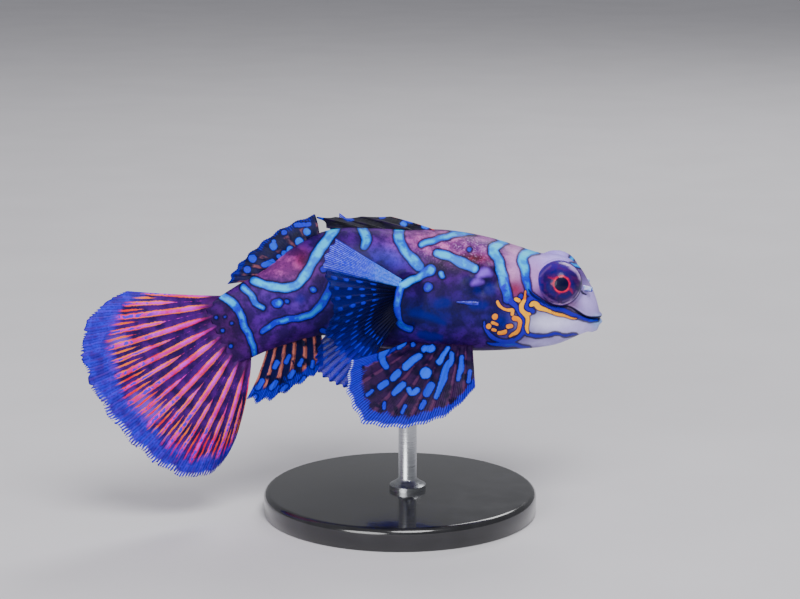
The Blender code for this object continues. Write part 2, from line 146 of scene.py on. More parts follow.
def unit(vectors):
    return vectors / np.linalg.norm(vectors, axis=-1, keepdims=True)


def smooth_step(values, low, high):
    share = np.clip((values - low) / (high - low), 0.0, 1.0)
    return share * share * (3 - 2 * share)


def bell(values, reach):
    return np.exp(-((values / reach) ** 2))


def cubic(start, end, start_slope, end_slope, span, t):
    """Values on the cubic from start to end, at the share t of its span."""
    return (
        (1 + 2 * t) * (1 - t) ** 2 * start
        + t * (1 - t) ** 2 * span * start_slope
        + t * t * (3 - 2 * t) * end
        + t * t * (t - 1) * span * end_slope
    )


def station_values(x):
    """The columns of STATIONS at each x, on a cubic through them."""
    rows = np.array(STATIONS)[::-1]
    xs = rows[:, 0]
    x = np.clip(x, xs[0], xs[-1])
    i = np.clip(np.searchsorted(xs, x) - 1, 0, len(xs) - 2)
    slopes = np.gradient(rows, xs, axis=0)
    span = (xs[i + 1] - xs[i])[..., None]
    share = (x - xs[i])[..., None] / span
    return cubic(rows[i], rows[i + 1], slopes[i], slopes[i + 1], span, share)


def sections(x):
    """Centres, backward, sideways (left) and upward directions, half heights and half widths."""
    x = np.asarray(x, float)
    values = station_values(x)
    ahead = station_values(np.minimum(x + SLOPE_REACH, SNOUT))
    behind = station_values(np.maximum(x - SLOPE_REACH, TAIL_END))
    bent = np.clip((STRAIGHT_TO - x) / (STRAIGHT_TO - BENT_FROM), 0.0, 1.0)[..., None]
    backward = (behind - ahead)[..., :3] / (ahead - behind)[..., :1] * bent
    backward[..., 0] = -1.0
    backward = unit(backward)
    sideways = unit(np.cross((0.0, 0.0, 1.0), -backward))
    upward = unit(np.cross(sideways, backward))
    centres = values[..., :3].copy()
    centres[..., 0] = x
    return centres, backward, sideways, upward, values[..., 3], values[..., 4]


def signed_power(values, exponent):
    return np.sign(values) * np.abs(values) ** exponent


def ring_places(shape, angle, widths=1.0, heights=1.0):
    """Offsets from the sections' centres to the skin, at an angle from the left side upwards."""
    _, _, sideways, upward, half_height, half_width = shape
    across = signed_power(np.cos(angle), 2 / SECTION_POWER)
    up = signed_power(np.sin(angle), 2 / SECTION_POWER)
    across = across * (1 - BELLY_WIDER * up)
    return (
        sideways * (across * half_width * widths)[..., None]
        + upward * (up * half_height * heights)[..., None]
    )


def grid_normals(places, closed):
    """The direction square to a grid of places; closed if its first and last columns are one."""
    if closed:
        wrapped = np.concatenate((places[:, -2:-1], places, places[:, 1:2]), axis=1)
        across = (wrapped[:, 2:] - wrapped[:, :-2]) / 2
    else:
        across = np.gradient(places, axis=1)
    normals = np.cross(np.gradient(places, axis=0), across)
    return normals / np.maximum(np.linalg.norm(normals, axis=-1, keepdims=True), 1e-9)


def softened(field, times):
    """A grid of heights that closes on itself across, spread out a little."""
    for _ in range(times):
        field = (np.roll(field, 1, axis=1) + 2 * field + np.roll(field, -1, axis=1)) / 4
        padded = np.concatenate((field[:1], field, field[-1:]), axis=0)
        field = (padded[:-2] + 2 * padded[1:-1] + padded[2:]) / 4
    return field


def skin_grid():
    """Rings from the snout to past the tail's end: each place's centre, offset and angle."""
    head_x = SNOUT + (HEAD_END - SNOUT) * np.linspace(0.0, 1.0, HEAD_RINGS, endpoint=False) ** 1.5
    body_x = np.linspace(HEAD_END, TAIL_END, BODY_RINGS)
    past = np.linspace(0.0, 1.0, END_RINGS + 1)[1:]
    x = np.concatenate((head_x, body_x, np.full(END_RINGS, TAIL_END)))
    beyond = np.concatenate((np.zeros(HEAD_RINGS + BODY_RINGS), past))
    angle = np.linspace(0.0, 2 * math.pi, AROUND + 1)
    angle = angle - SIDES_CROWDED * np.sin(2 * angle)
    x_grid, angle_grid = np.meshgrid(x, angle, indexing="ij")
    shape = sections(x_grid)
    thinner = (1.0 - beyond)[:, None] * np.ones_like(x_grid)
    centres = shape[0] + shape[1] * (beyond * END_LENGTH)[:, None, None]
    offsets = ring_places(shape, angle_grid, thinner, END_FLATTER + (1 - END_FLATTER) * thinner)
    return centres, offsets, angle_grid


def socket_heights(centres, offsets):
    """How far the eye sockets stand out past the plain body, along each offset."""
    length = np.linalg.norm(offsets, axis=-1)
    outward = offsets / np.maximum(length, 1e-6)[..., None]
    raised = np.zeros_like(length)
    for side in (1, -1):
        to_eye = EYE_CENTRE * (1, side, 1) - centres
        along = np.sum(to_eye * outward, axis=-1)
        inside = SOCKET_RADIUS**2 - (np.sum(to_eye * to_eye, axis=-1) - along**2)
        reach = np.where(inside > 0, along + np.sqrt(np.maximum(inside, 0.0)), 0.0)
        raised = np.maximum(raised, reach - length)
    return outward, raised


def open_sockets(places):
    """Draws the skin down under each eyeball, inside the socket's rim."""
    for side in (1, -1):
        centre = EYE_CENTRE * (1, side, 1)
        reach = places - centre
        radius = np.linalg.norm(reach, axis=-1)
        off_axis = np.arccos(np.clip(reach @ (EYE_LOOKS * (1, side, 1)) / radius, -1, 1))
        near = 1 - smooth_step(radius / SOCKET_RADIUS, *SOCKET_FADE)
        opened = near * (1 - smooth_step(off_axis, SOCKET_OPEN - SOCKET_EDGE, SOCKET_OPEN))
        rim = near * smooth_step(off_axis, SOCKET_OPEN + 3 * SOCKET_EDGE, SOCKET_OPEN)
        held = np.maximum(radius, SOCKET_RADIUS * rim)
        wanted = held + (UNDER_EYE - held) * opened
        places = centre + reach * (wanted / radius)[..., None]
    return places


def lobe_heights(places):
    """How far the lobes of the pectoral fins stand out past the skin, straight to the sides."""
    out = math.radians(PECTORAL_LOBE_OUT)
    side = np.where(places[..., 1] < 0, -1.0, 1.0)
    x, y, z = np.moveaxis(places, -1, 0)
    x, y, z = x - PECTORAL_HUB[0], y * side - PECTORAL_HUB[1], z - PECTORAL_HUB[2]
    back_reach = (-math.cos(out) * x + math.sin(out) * y) / PECTORAL_LOBE[0]
    out_reach = (math.sin(out) * x + math.cos(out) * y) / PECTORAL_LOBE[1]
    back_way, out_way = math.sin(out) / PECTORAL_LOBE[0], math.cos(out) / PECTORAL_LOBE[1]
    square = back_way**2 + out_way**2
    half = back_reach * back_way + out_reach * out_way
    rest = back_reach**2 + out_reach**2 + (z / PECTORAL_LOBE[2]) ** 2 - 1
    inside = half**2 - square * rest
    reach = (np.sqrt(np.maximum(inside, 0.0)) - half) / square
    return np.where(inside > 0, np.maximum(reach, 0.0), 0.0), side


def mouth_height(x):
    share = np.clip((x - MOUTH_CORNER[0]) / (MOUTH_TIP[0] - MOUTH_CORNER[0]), 0.0, 1.0)
    line = MOUTH_CORNER[1] + (MOUTH_TIP[1] - MOUTH_CORNER[1]) * share
    return line - MOUTH_BOW * np.sin(math.pi * share**1.5)


def skin_relief(places):
    """Lips, mouth and gill lobes, as heights above the skin."""
    x, y, z = np.moveaxis(places, -1, 0)
    off_mouth = z - mouth_height(x)
    has_lips = smooth_step(x - MOUTH_CORNER[0], *LIPS_FROM)
    has_slit = smooth_step(x - MOUTH_CORNER[0], *SLIT_FROM)
    lips = sum(bell(off_mouth - side * LIP_OFFSET, LIP_WIDTH) for side in (1, -1))
    relief = LIP_RAISED * lips * has_lips
    relief -= MOUTH_DEPTH * bell(off_mouth, MOUTH_WIDTH) * has_slit
    for lobe_x, lobe_z, reach, height in GILL_LOBES:
        relief += height * bell(np.hypot(x - lobe_x, z - lobe_z), reach)
    return relief


centres, offsets, skin_angle = skin_grid()
outward, raised = socket_heights(centres, offsets)
smooth_raised = softened(np.maximum(raised, 0.0)[:, :-1], SOCKET_SPREAD)
smooth_raised = np.concatenate((smooth_raised, smooth_raised[:, :1]), axis=1)
plain_places = centres + offsets
skin_places = open_sockets(plain_places + outward * smooth_raised[..., None])
skin_normals = grid_normals(skin_places, closed=True)
if np.sum(skin_normals * outward, axis=-1).mean() < 0:
    skin_normals = -skin_normals
skin_places = skin_places + skin_normals * skin_relief(skin_places)[..., None]
lobes, side = lobe_heights(skin_places)
lobes = softened(lobes[:, :-1], LOBE_SPREAD)
skin_places[..., 1] += side * np.concatenate((lobes, lobes[:, :1]), axis=1)


# The skin's markings: cyan bands with dark outlines, gold lines and spots, on a mottled ground.
# Each stroke is a tone, from 0 (deep) to 1 (bright), and points: column, row and width in pixels.
# A pair of tones runs from the first at the stroke's start to the second at its end.
CYAN_STROKES = (
    # eye band and the line along the lip
    ((1.0, 0.9), (538, 252, 5), (530, 252, 7), (522.8, 257.5, 10), (524.3, 267, 8.6)),
    ((0.85, 0.1), (524.3, 267, 8.6), (525.7, 276.7, 7.8), (527, 285.4, 6.5), (529.5, 293.5, 5)),
    (0.0, (529.5, 293.5, 5), (534.6, 297.8, 4.4), (539, 301.6, 4.2), (545, 304.9, 4),
     (552, 307.9, 4), (560.6, 310, 3.8), (569.3, 313, 3.8), (576.2, 316.6, 3.8),
     (583, 319.2, 3.6), (589.2, 320, 3.4)),
    (0.35, (589.2, 320.2, 3.4), (597, 320.4, 3)),
    # nape band, which runs on down into the line before the cheek
    ((1.0, 0.85), (507, 242.5, 4), (501, 244, 7), (493, 249.4, 10), (497.9, 259.3, 9.6),
     (501, 270.7, 10)),
    ((0.8, 0.0), (501, 270.7, 10), (504, 282, 10), (506.6, 293, 9), (508, 299, 9)),
    (0.0, (507, 297, 8), (512, 303, 5.4), (518, 310.5, 4), (521.6, 316.6, 3.6), (523, 322.6, 3.2),
     (523.6, 331, 3.2), (527, 334.8, 3)),
    (0.05, (527, 334.8, 3), (534.6, 336, 2.6), (541.6, 337, 2.2), (548, 335.6, 2),
     (555.4, 334.3, 2), (567.5, 336, 1.8), (576, 334.8, 1.6)),
    (0.0, (523.4, 333, 3.2), (515.6, 340, 3.2), (509, 344, 3.6)),
    (0.1, (488, 343.5, 1.6), (500, 345.5, 3.6), (511.3, 345, 4.4), (519, 346.5, 3.6),
     (529, 348.6, 3)),
    (0.0, (531, 298.5, 3.6), (526.8, 302.5, 3.6), (526.3, 307, 3.6), (529, 311, 4.2),
     (532.5, 311.6, 5)),
    # outline of the spotted patch
    (0.0, (484.2, 322, 1.2), (485.8, 329.6, 2.6), (490.4, 336, 3.4), (498, 340.6, 3.6),
     (507, 342, 4), (512, 341, 3.6)),
    # upper stripe, shoulder bar, back bar and short bar
    (0.75, (474.5, 233, 4), (465, 232.9, 6), (450.7, 235.7, 6), (436.4, 240, 6), (422, 244.6, 6)),
    (0.8, (437, 253.6, 7.5), (447.9, 256.4, 8.5), (459.3, 262.1, 9.5), (469.3, 266.4, 10),
     (473.5, 268.5, 9)),
    (0.7, (399.3, 224, 10.7), (399.3, 240.7, 10), (403.6, 249.3, 9), (412, 259.3, 10),
     (419, 266.5, 10)),
    (0.7, (358, 220, 9), (360.7, 226.4, 9), (365, 233.6, 9.5), (366.4, 240.7, 9.5),
     (365, 246, 8.5)),
    # arc on the lobe of the pectoral fin
    ((0.6, 0.9), (430, 270.5, 11), (420.7, 276.4, 7.4), (410, 281.6, 8), (401.5, 286, 7.6)),
    ((0.5, 0.1), (401.5, 286, 7), (399, 293, 7), (397, 307, 7), (398, 319, 7), (403, 327, 7),
     (410, 329.5, 6)),
    # waves and band of the tail
    (0.8, (253, 280.8, 7.2), (266, 285.6, 8.2), (281, 288.2, 8.4), (293.9, 287, 8.6),
     (302, 280, 8.8), (309.7, 268.5, 9), (317, 254.5, 9.6), (325, 243, 10), (333.6, 230.7, 9),
     (339.3, 222, 8.5), (342, 212, 8)),
    ((0.45, 0.2), (262.5, 332, 5), (274, 324, 5.5), (289, 319.7, 6), (304, 317.4, 6.5),
     (313, 313.5, 7), (322, 304, 7.5), (327, 296, 7.8), (331, 286.4, 8), (339.3, 275, 8),
     (352, 267, 8)),
    (0.65, (243, 287.6, 6), (250, 294, 6.5), (255.6, 303.6, 6), (262.5, 308, 4.5)),
    ((0.8, 0.5), (220, 294.5, 8), (231.5, 302.5, 8), (239.5, 311.7, 7)),
    ((0.5, 0.3), (239.5, 311.7, 7), (245, 328, 6.5), (251, 340, 6), (255, 355, 5)),
    # spots
    (0.60, (469.3, 249.6, 4)),
    (0.70, (441.4, 274, 5), (442.4, 277, 5)),
    (0.15, (427.9, 287.9, 9)),
    (0.50, (275.6, 303.6, 8), (278.6, 303.6, 8)),
    (0.35, (286.6, 302, 4)),
    (0.30, (313, 290, 6)),
    (0.20, (323, 269.5, 6), (326, 268, 6)),
    (0.30, (222.8, 331, 3.6)),
    (0.30, (231, 346.5, 3.6)),
    (0.10, (231.5, 324, 3)),
    (0.10, (216.5, 318, 3)),
    (0.10, (225.5, 317.5, 2.4)),
    (0.0, (521.2, 297, 4.6)),
    # bar above the eye
    (0.90, (571, 265.5, 3.6), (580, 266.5, 3.2)),
    # marks of the flank behind the pectoral fin and of the belly
    (0.15, (372, 268, 6), (366, 285, 7), (362, 303, 7), (350, 316, 6), (334, 321, 5)),
    (0.12, (372, 330, 5), (356, 334, 5), (338, 336, 5), (322, 331, 4)),
    (0.10, (380, 345, 4), (360, 349, 4)),
)
SOFT_STROKES = (
    # blurred blue marks of the lower flank
    (0.0, (413, 313.6, 4), (430, 317, 5), (444, 323.6, 3)),
    (0.0, (438, 304, 8), (446, 303, 8)),
    (0.0, (490.7, 289.3, 10)),
    (0.0, (474, 305, 8), (484, 306, 6)),
    (0.0, (340, 322, 8), (330, 330, 8)),
    (0.0, (300, 300, 7)),
    (0.0, (420, 335, 5), (440, 338, 4)),
)
GILL_HIGHLIGHT_STROKES = (
    # gill lobes: pale where their bulges face the light, a painted highlight
    (0.0, (478, 277, 4), (485, 272.6, 9), (490, 274.5, 5)),
    (0.0, (473, 284, 4), (477.5, 282, 7), (482, 282.5, 3)),
)
GOLD_STROKES = (
    (0.9, (531.2, 305.6, 4), (533.4, 303.8, 5), (536, 304.4, 5), (539, 307.6, 5), (543.3, 309.6, 4),
     (550.2, 312.4, 3.4)),
    (0.55, (550.2, 312.4, 3.2), (557, 314.4, 2.8), (564, 316.3, 2.4), (571, 318.3, 2),
     (576, 319, 1)),
    (0.1, (525.6, 292, 1.6), (525.4, 297, 2), (524.2, 301, 2.8)),
    (0.9, (524.2, 301, 3), (521.2, 305.3, 4.4), (521.6, 309.6, 4.6), (524.6, 313.4, 4.6),
     (526.8, 317, 4), (527.3, 322.6, 3.6), (527, 328.7, 3.2), (527.8, 333, 2)),
    (0.8, (525, 313, 3.6), (529.8, 314.8, 2.4)),
    (0.6, (497.7, 302.5, 2.6), (499.4, 306, 3.2), (503, 309.2, 2.8), (508, 310.2, 2.8),
     (512.2, 311, 3.4), (512.6, 314.4, 3.4)),
    (0.4, (514.4, 318.6, 4.6), (518.6, 320.4, 4.2), (519.6, 326, 3.8), (518.6, 330.5, 3.8),
     (514, 334.5, 3.2), (510, 337.2, 2)),
    (0.4, (494.7, 317, 6.2)),
    (0.4, (493, 323.4, 3.4), (497, 324.6, 3)),
    (0.4, (489, 326.9, 5)),
    (0.4, (492.6, 330.6, 3), (494.8, 331, 3)),
    (0.4, (499, 333.4, 4), (505, 332.4, 4.4)),
    (0.4, (507.8, 327.4, 4.4), (510.8, 326.4, 4.4)),
    (0.8, (516.5, 299.7, 4), (518.5, 300.5, 4.2)),
)
SHADE_STROKES = (
    # painted shade: a line under the eye's bulge, running into the dark of the mouth slit, and a
    # shadow under the nostril
    (0.0, (528.5, 290, 1), (532, 295, 2), (539, 300, 2.6), (548.5, 305, 2.6), (558, 307, 2.2),
     (567, 307, 2)),
    (0.0, (581, 289.6, 1.2), (582.4, 293.2, 1.8), (586, 295, 1.2)),
    (0.0, (565, 305.6, 1.4), (571.9, 308.3, 1.8), (578, 312.2, 2.2), (584.8, 316.6, 2.2),
     (591, 318.3, 2.2), (601, 317.4, 2)),
)
# Soft regions of the ground: column, row, reach across and up, colour, strength
SKIN_GROUND = (74, 40, 112)
SKIN_REGIONS = (
    (372, 236, 40, 16, (86, 48, 134), 0.8),  # back between the bars
    (390, 256, 26, 13, (84, 50, 216), 0.9),  # violet saddle above the pectoral fin
    (440, 242, 42, 14, (214, 132, 192), 1.0),  # lit shoulder
    (484, 252, 22, 16, (196, 128, 200), 0.9),  # nape
    (474, 259, 20, 5.5, (134, 34, 62), 0.95),  # red-brown behind the nape band
    (484, 277, 13, 12, (18, 4, 72), 0.95),
    (440, 266, 26, 8, (52, 20, 66), 0.85),  # below the shoulder bar
    (285, 268, 34, 14, (200, 118, 178), 0.95),  # lit saddle under the second dorsal
    (303, 261, 9, 9, (160, 54, 92), 0.8),  # red patch beside it
    (318, 262, 14, 22, (60, 40, 130), 0.6),  # before the wave's top
    (420, 314, 88, 27, (4, 0, 94), 1.0),  # dark lower flank: its own deep blue, deepened with painted shade from the light above
    (345, 302, 42, 42, (6, 0, 80), 0.97),  # behind the pectoral fin: its own dark blue, deepened with painted shade under the fin
    (385, 300, 10, 34, (4, 4, 30), 0.9),  # painted shadow along the rear edge of the fin's lobe
    (284, 302, 42, 18, (104, 76, 166), 0.85),  # side of the tail
    (262, 320, 30, 18, (84, 52, 136), 0.8),
    (228, 330, 22, 40, (66, 34, 84), 0.85),  # end of the tail
    (514, 262, 9, 28, (226, 164, 214), 0.95),  # salmon between the bands
    (515, 290, 8, 9, (140, 62, 84), 0.9),
    (545, 262, 26, 13, (206, 178, 255), 0.95),  # forehead
    (566, 256, 22, 10, (190, 172, 255), 0.95),
    (535, 277, 8, 16, (206, 160, 222), 0.9),  # behind the eye
    (556, 324, 34, 12, (226, 224, 255), 1.0),  # cheek
    (590, 300, 18, 20, (206, 190, 252), 1.0),  # snout
    (571, 305, 9, 6, (150, 116, 160), 0.8),  # mauve shade above the mouth
    (580, 332, 26, 12, (214, 204, 255), 1.0),  # lower lip and chin
    (598, 322, 7, 7, (166, 200, 252), 0.9),
    (545, 344, 30, 6, (196, 188, 240), 0.9),  # throat
    (501, 323, 19, 17, (12, 0, 118), 1.0),  # spotted patch
    (468, 281, 7, 5, (44, 30, 110), 0.8),
    (478, 291, 16, 7, (10, 0, 104), 0.95),
)
SPECKLED = (462, 247, 42, 14)  # the patch of pale specks: column, row and reach both ways
EVEN_FROM = (495.0, 525.0)  # columns over which the ground turns even towards the head
VIEW_CENTRE = (400.0, 300.0)  # the pixel that the camera looks at
LEFT_SHIFT = 5.0
LEFT_WAVES = (17, 23)  # pixels that set the lengths of the left side's waves
EDGE_WAVE = 0.4
WASH = 0.17  # how far the studio light washes strong colours out


def photo_pixels(places):
    """Where the photo shows each place: columns and rows of pixels."""
    reach = places - view_place
    view_up = np.array((0.0, math.sin(VIEW_DOWN), math.cos(VIEW_DOWN)))
    depth = reach @ view_ahead * PIXEL / VIEW_DISTANCE
    return VIEW_CENTRE[0] + reach[..., 0] / depth, VIEW_CENTRE[1] - reach @ view_up / depth


def linear(colour):
    """A colour in 0 to 255 steps, as a shader takes it, with its weak channels held back."""
    steps = np.asarray(colour, float) / 255
    plain = np.where(steps > 0.04045, ((steps + 0.055) / 1.055) ** 2.4, steps / 12.92)
    return np.clip(plain - WASH * (plain.max(axis=-1, keepdims=True) - plain), 0.0, 1.0)


def curved(points, cuts=3):
    """The points with more between them, on a smooth curve through them."""
    points = np.array(points, float)
    if len(points) < 3:
        return points
    lengths = np.hypot(*np.diff(points[:, :2], axis=0).T)
    along = np.concatenate(((0.0,), np.cumsum(lengths)))
    slopes = np.gradient(points, along, axis=0)
    shares = np.linspace(0.0, 1.0, cuts + 1)[1:]
    curve = [
        cubic(points[i], points[i + 1], slopes[i], slopes[i + 1], span, t)
        for i, span in enumerate(lengths)
        for t in shares
    ]
    return np.array([points[0], *curve])


def stroke_depths(column, row, strokes):
    """How deep each pixel lies inside the nearest stroke, and that stroke's tone."""
    depth = np.full(column.shape, -60.0)
    tone = np.zeros(column.shape)
    for stroke_tone, *points in strokes:
        line = curved(points)
        if len(line) == 1:
            line = np.repeat(line, 2, axis=0)
        tones = np.linspace(np.min(stroke_tone), np.max(stroke_tone), len(line))
        if np.ndim(stroke_tone) and stroke_tone[0] > stroke_tone[1]:
            tones = tones[::-1]
        for (u0, v0, w0), (u1, v1, w1), step_tone in zip(line, line[1:], tones):
            du, dv = u1 - u0, v1 - v0
            share = ((column - u0) * du + (row - v0) * dv) / max(du * du + dv * dv, 1e-6)
            share = np.clip(share, 0.0, 1.0)
            away = np.hypot(column - u0 - share * du, row - v0 - share * dv)
            inside = (w0 + (w1 - w0) * share) / 2 - away
            tone = np.where(inside > depth, step_tone, tone)
            depth = np.maximum(depth, inside)
    return depth, tone


def ground_colours(column, row, ground, regions):
    """The ground's colour at each pixel, blended from soft regions."""
    colours = np.ones((*column.shape, 3)) * linear(ground)
    for u, v, across, up, colour, strength in regions:
        weight = strength * bell(column - u, across) * bell(row - v, up)
        colours += (linear(colour) - colours) * weight[..., None]
    return colours


def made_mesh(name, bm):
    mesh = bpy.data.meshes.new(name)
    bm.to_mesh(mesh)
    bm.free()
    return mesh


def grid_piece(name, places, values):
    """A smooth mesh on a grid of places, its double points merged, with values on its points."""
    rows, columns = places.shape[:2]
    bm = bmesh.new()
    bmesh.ops.create_grid(bm, x_segments=columns - 1, y_segments=rows - 1, size=1.0)
    first = bm.verts.layers.int.new("first")
    for index, (vert, place) in enumerate(zip(bm.verts, places.reshape(-1, 3) * MM)):
        vert.co = place
        vert[first] = index
    bmesh.ops.remove_doubles(bm, verts=bm.verts, dist=0.0000005)
    bmesh.ops.holes_fill(bm, edges=[edge for edge in bm.edges if edge.is_boundary])
    bmesh.ops.recalc_face_normals(bm, faces=bm.faces)
    mesh = made_mesh(name, bm)
    mesh.shade_smooth()
    kept = np.empty(len(mesh.vertices), np.int32)
    mesh.attributes["first"].data.foreach_get("value", kept)
    mesh.attributes.remove(mesh.attributes["first"])
    for key, array in values.items():
        if array.shape[:2] != (rows, columns):
            raise ValueError(f"{name}: {key} doesn't fit the grid")
        if array.ndim == 3:
            attribute = mesh.attributes.new(key, "FLOAT_COLOR", "POINT")
            colours = np.ones((len(kept), 4), np.float32)
            colours[:, :3] = array.reshape(-1, 3)[kept]
            attribute.data.foreach_set("color", colours.ravel())
        else:
            attribute = mesh.attributes.new(key, "FLOAT", "POINT")
            attribute.data.foreach_set("value", array.reshape(-1)[kept].astype(np.float32))
    return in_scene(name, mesh)


skin_column, skin_row = photo_pixels(skin_places)
on_left = np.cos(skin_angle) > 0
mirror_index = (AROUND // 2 - np.arange(AROUND + 1)) % AROUND
left_weight = np.clip(np.cos(skin_angle), 0.0, 1.0)
shift = LEFT_SHIFT * left_weight
left_column = skin_column[:, mirror_index] + shift * np.sin(skin_row / LEFT_WAVES[0] + 1)
left_row = skin_row[:, mirror_index] + shift * np.sin(skin_column / LEFT_WAVES[1])
skin_column = np.where(on_left, left_column, skin_column)
skin_row = np.where(on_left, left_row, skin_row)
wavy_column = skin_column + EDGE_WAVE * np.sin(skin_row * 0.37 + 0.13 * skin_column)
wavy_row = skin_row + EDGE_WAVE * np.sin(skin_column * 0.41 - 0.17 * skin_row)
cyan_depth, cyan_tone = stroke_depths(wavy_column, wavy_row, CYAN_STROKES)
gold_depth, gold_tone = stroke_depths(wavy_column, wavy_row, GOLD_STROKES)
painted_shade_depth, _ = stroke_depths(skin_column, skin_row, SHADE_STROKES)
skin = grid_piece(
    "skin",
    skin_places,
    {
        "cyan": cyan_depth,
        "cyan_tone": cyan_tone,
        "gold": gold_depth,
        "gold_tone": gold_tone,
        "dark": painted_shade_depth,
        "even": smooth_step(skin_column, *EVEN_FROM),
        "pale": stroke_depths(skin_column, skin_row, GILL_HIGHLIGHT_STROKES)[0],
        "soft": stroke_depths(skin_column, skin_row, SOFT_STROKES)[0],
        "speckled": (
            bell(skin_column - SPECKLED[0], SPECKLED[2]) * bell(skin_row - SPECKLED[1], SPECKLED[3])
        ),
        "ground": ground_colours(skin_column, skin_row, SKIN_GROUND, SKIN_REGIONS),
    },
)


class Shade:
    """A value in a material's nodes. Arithmetic on it adds the nodes that work the result out."""

    def __init__(self, socket):
        self.socket = socket

    def node(self, kind, settings, inputs, output=0):
        return add_node(self.socket.id_data, kind, settings, inputs, output)

    def maths(self, operation, *others):
        inputs = dict(enumerate((self, *others)))
        return self.node("ShaderNodeMath", {"operation": operation}, inputs)

    def __add__(self, other):
        return self.maths("ADD", other)

    def __sub__(self, other):
        return self.maths("SUBTRACT", other)

    def __rsub__(self, other):
        return self.maths("MULTIPLY", -1.0) + other

    def __mul__(self, other):
        return self.maths("MULTIPLY", other)

    def __truediv__(self, other):
        return self.maths("DIVIDE", other)

    __radd__ = __add__
    __rmul__ = __mul__

    def rise(self, low, high):
        """From 0 at low to 1 at high, smoothly."""
        settings = {"interpolation_type": "SMOOTHSTEP"}
        inputs = {"Value": self, "From Min": low, "From Max": high}
        return self.node("ShaderNodeMapRange", settings, inputs)

    def tint(self, first, second, blend="MIX"):
        """The first colour where this is 0 and the second, or the two blended, where it is 1."""
        settings = {"data_type": "RGBA", "blend_type": blend}
        return self.node("ShaderNodeMix", settings, {0: self, 6: first, 7: second}, 2)


def add_node(tree, kind, settings, inputs, output=0):
    """One node with its settings, and its inputs linked or set."""
    node = tree.nodes.new(kind)
    for key, value in settings.items():
        setattr(node, key, value)
    for key, value in inputs.items():
        if isinstance(value, Shade):
            tree.links.new(value.socket, node.inputs[key])
        elif isinstance(value, tuple) and node.inputs[key].type == "RGBA":
            node.inputs[key].default_value = (*linear(value), 1.0)
        else:
            node.inputs[key].default_value = value
    return Shade(node.outputs[output])


def new_material(name, roughness, metallic=0.0, coat=0.0, coat_roughness=0.03, gloss=0.5):
    """A material, its tree and its main shader."""
    made = bpy.data.materials.new(name)
    made.use_nodes = True
    shader = made.node_tree.nodes["Principled BSDF"]
    shader.inputs["Roughness"].default_value = roughness
    shader.inputs["Metallic"].default_value = metallic
    shader.inputs["Coat Weight"].default_value = coat
    shader.inputs["Coat Roughness"].default_value = coat_roughness
    shader.inputs["Specular IOR Level"].default_value = gloss
    return made, made.node_tree, shader


def point_value(tree, name):
    return add_node(tree, "ShaderNodeAttribute", {"attribute_name": name}, {}, "Fac")


def point_colour(tree, name):
    return add_node(tree, "ShaderNodeAttribute", {"attribute_name": name}, {}, "Color")


def noise(tree, scale, detail=2.0, offset=0.0):
    """A cloudy value about 0.5, on the object's own coordinates; scale is in clouds a metre."""
    place = add_node(tree, "ShaderNodeTexCoord", {}, {}, "Object")
    inputs = {"Vector": place, "W": offset, "Scale": scale, "Detail": detail}
    return add_node(tree, "ShaderNodeTexNoise", {"noise_dimensions": "4D"}, inputs)


def painted(colour, *coats):
    """The colour under its coats, each of which is a share and the colour it brings there."""
    for share, coat in coats:
        colour = share.tint(colour, coat)
    return colour


def put(tree, shader, socket, value):
    tree.links.new(value.socket, shader.inputs[socket])


def put_bump(tree, shader, height, strength, distance):
    inputs = {"Height": height, "Strength": strength, "Distance": distance}
    put(tree, shader, "Normal", add_node(tree, "ShaderNodeBump", {}, inputs, "Normal"))


def belongs(piece, paint, slot, *nodes):
    """Paints a piece, and says which body it rides and which nodes it replaces; slot is not used.
    """
    piece.data.materials.append(paint)
    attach(piece, "root")
    if nodes:
        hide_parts(*nodes)


skin_paint, tree, shader = new_material(
    "skin paint", roughness=0.5, coat=0.05, coat_roughness=0.25, gloss=0.12
)
cyan, tone = point_value(tree, "cyan"), point_value(tree, "cyan_tone")
gold, gold_shade = point_value(tree, "gold"), point_value(tree, "gold_tone")
mottle, fine = noise(tree, 700, 3), noise(tree, 4200, 2, 5.0)
stir, grit = mottle - 0.5, fine - 0.5
varied = 1.0 - point_value(tree, "even") * 0.85
clouded = mottle.rise(0.34, 0.60) * varied
colour = clouded.tint(point_colour(tree, "ground"), (150, 132, 170), "MULTIPLY")
specks = fine.rise(0.54, 0.68) * point_value(tree, "speckled")
colour = (specks * 0.45).tint(colour, (226, 190, 240))
colour = (fine.rise(0.48, 0.30) * varied * 0.5).tint(colour, (120, 90, 150), "MULTIPLY")
soft = point_value(tree, "soft") + stir * 6
pale = point_value(tree, "pale") + stir * 4
ragged = cyan + grit + stir * 1.6
ragged_gold = gold + grit * 0.8
blue = painted(
    tone.rise(0.0, 0.5).tint((74, 0, 168), (0, 70, 196)),
    (tone.rise(0.5, 1.0), (0, 166, 242)),
    (cyan.rise(0.4, 2.6) * mottle.rise(0.40, 0.56) * tone * 0.8, (24, 222, 255)),
    ((cyan + stir * 5).rise(1.6, 0.2) * tone * 0.7, (0, 74, 200)),
)
yellow = gold_shade.tint((214, 104, 24), (250, 190, 16))
yellow = (mottle.rise(0.4, 0.6) * 0.4).tint(yellow, (250, 190, 60))
colour = painted(
    colour,
    (soft.rise(-4.0, 2.0) * 0.6, (10, 8, 120)),
    # painted highlight on the gill lobes
    (pale.rise(-2.4, 3.4) * 0.9, (150, 114, 226)),
    (ragged.rise(-2.6, -0.8) * 0.88, (4, 4, 44)),
    (ragged.rise(-0.5, 0.4), blue),
    (ragged_gold.rise(-1.8, -0.4) * 0.9, (14, 6, 56)),
    (ragged_gold.rise(-0.4, 0.4), yellow),
    # painted shade under the eye and the nostril and in the mouth slit
    (point_value(tree, "dark").rise(-0.9, 0.4) * 0.95, (10, 4, 40)),
)
put(tree, shader, "Base Color", colour)
put_bump(tree, shader, fine + mottle * 2 + cyan.rise(-1.5, 1.0) * 0.6, 0.35, 0.00012)
belongs(skin, skin_paint, "skin", "head", "trunk", "tail")


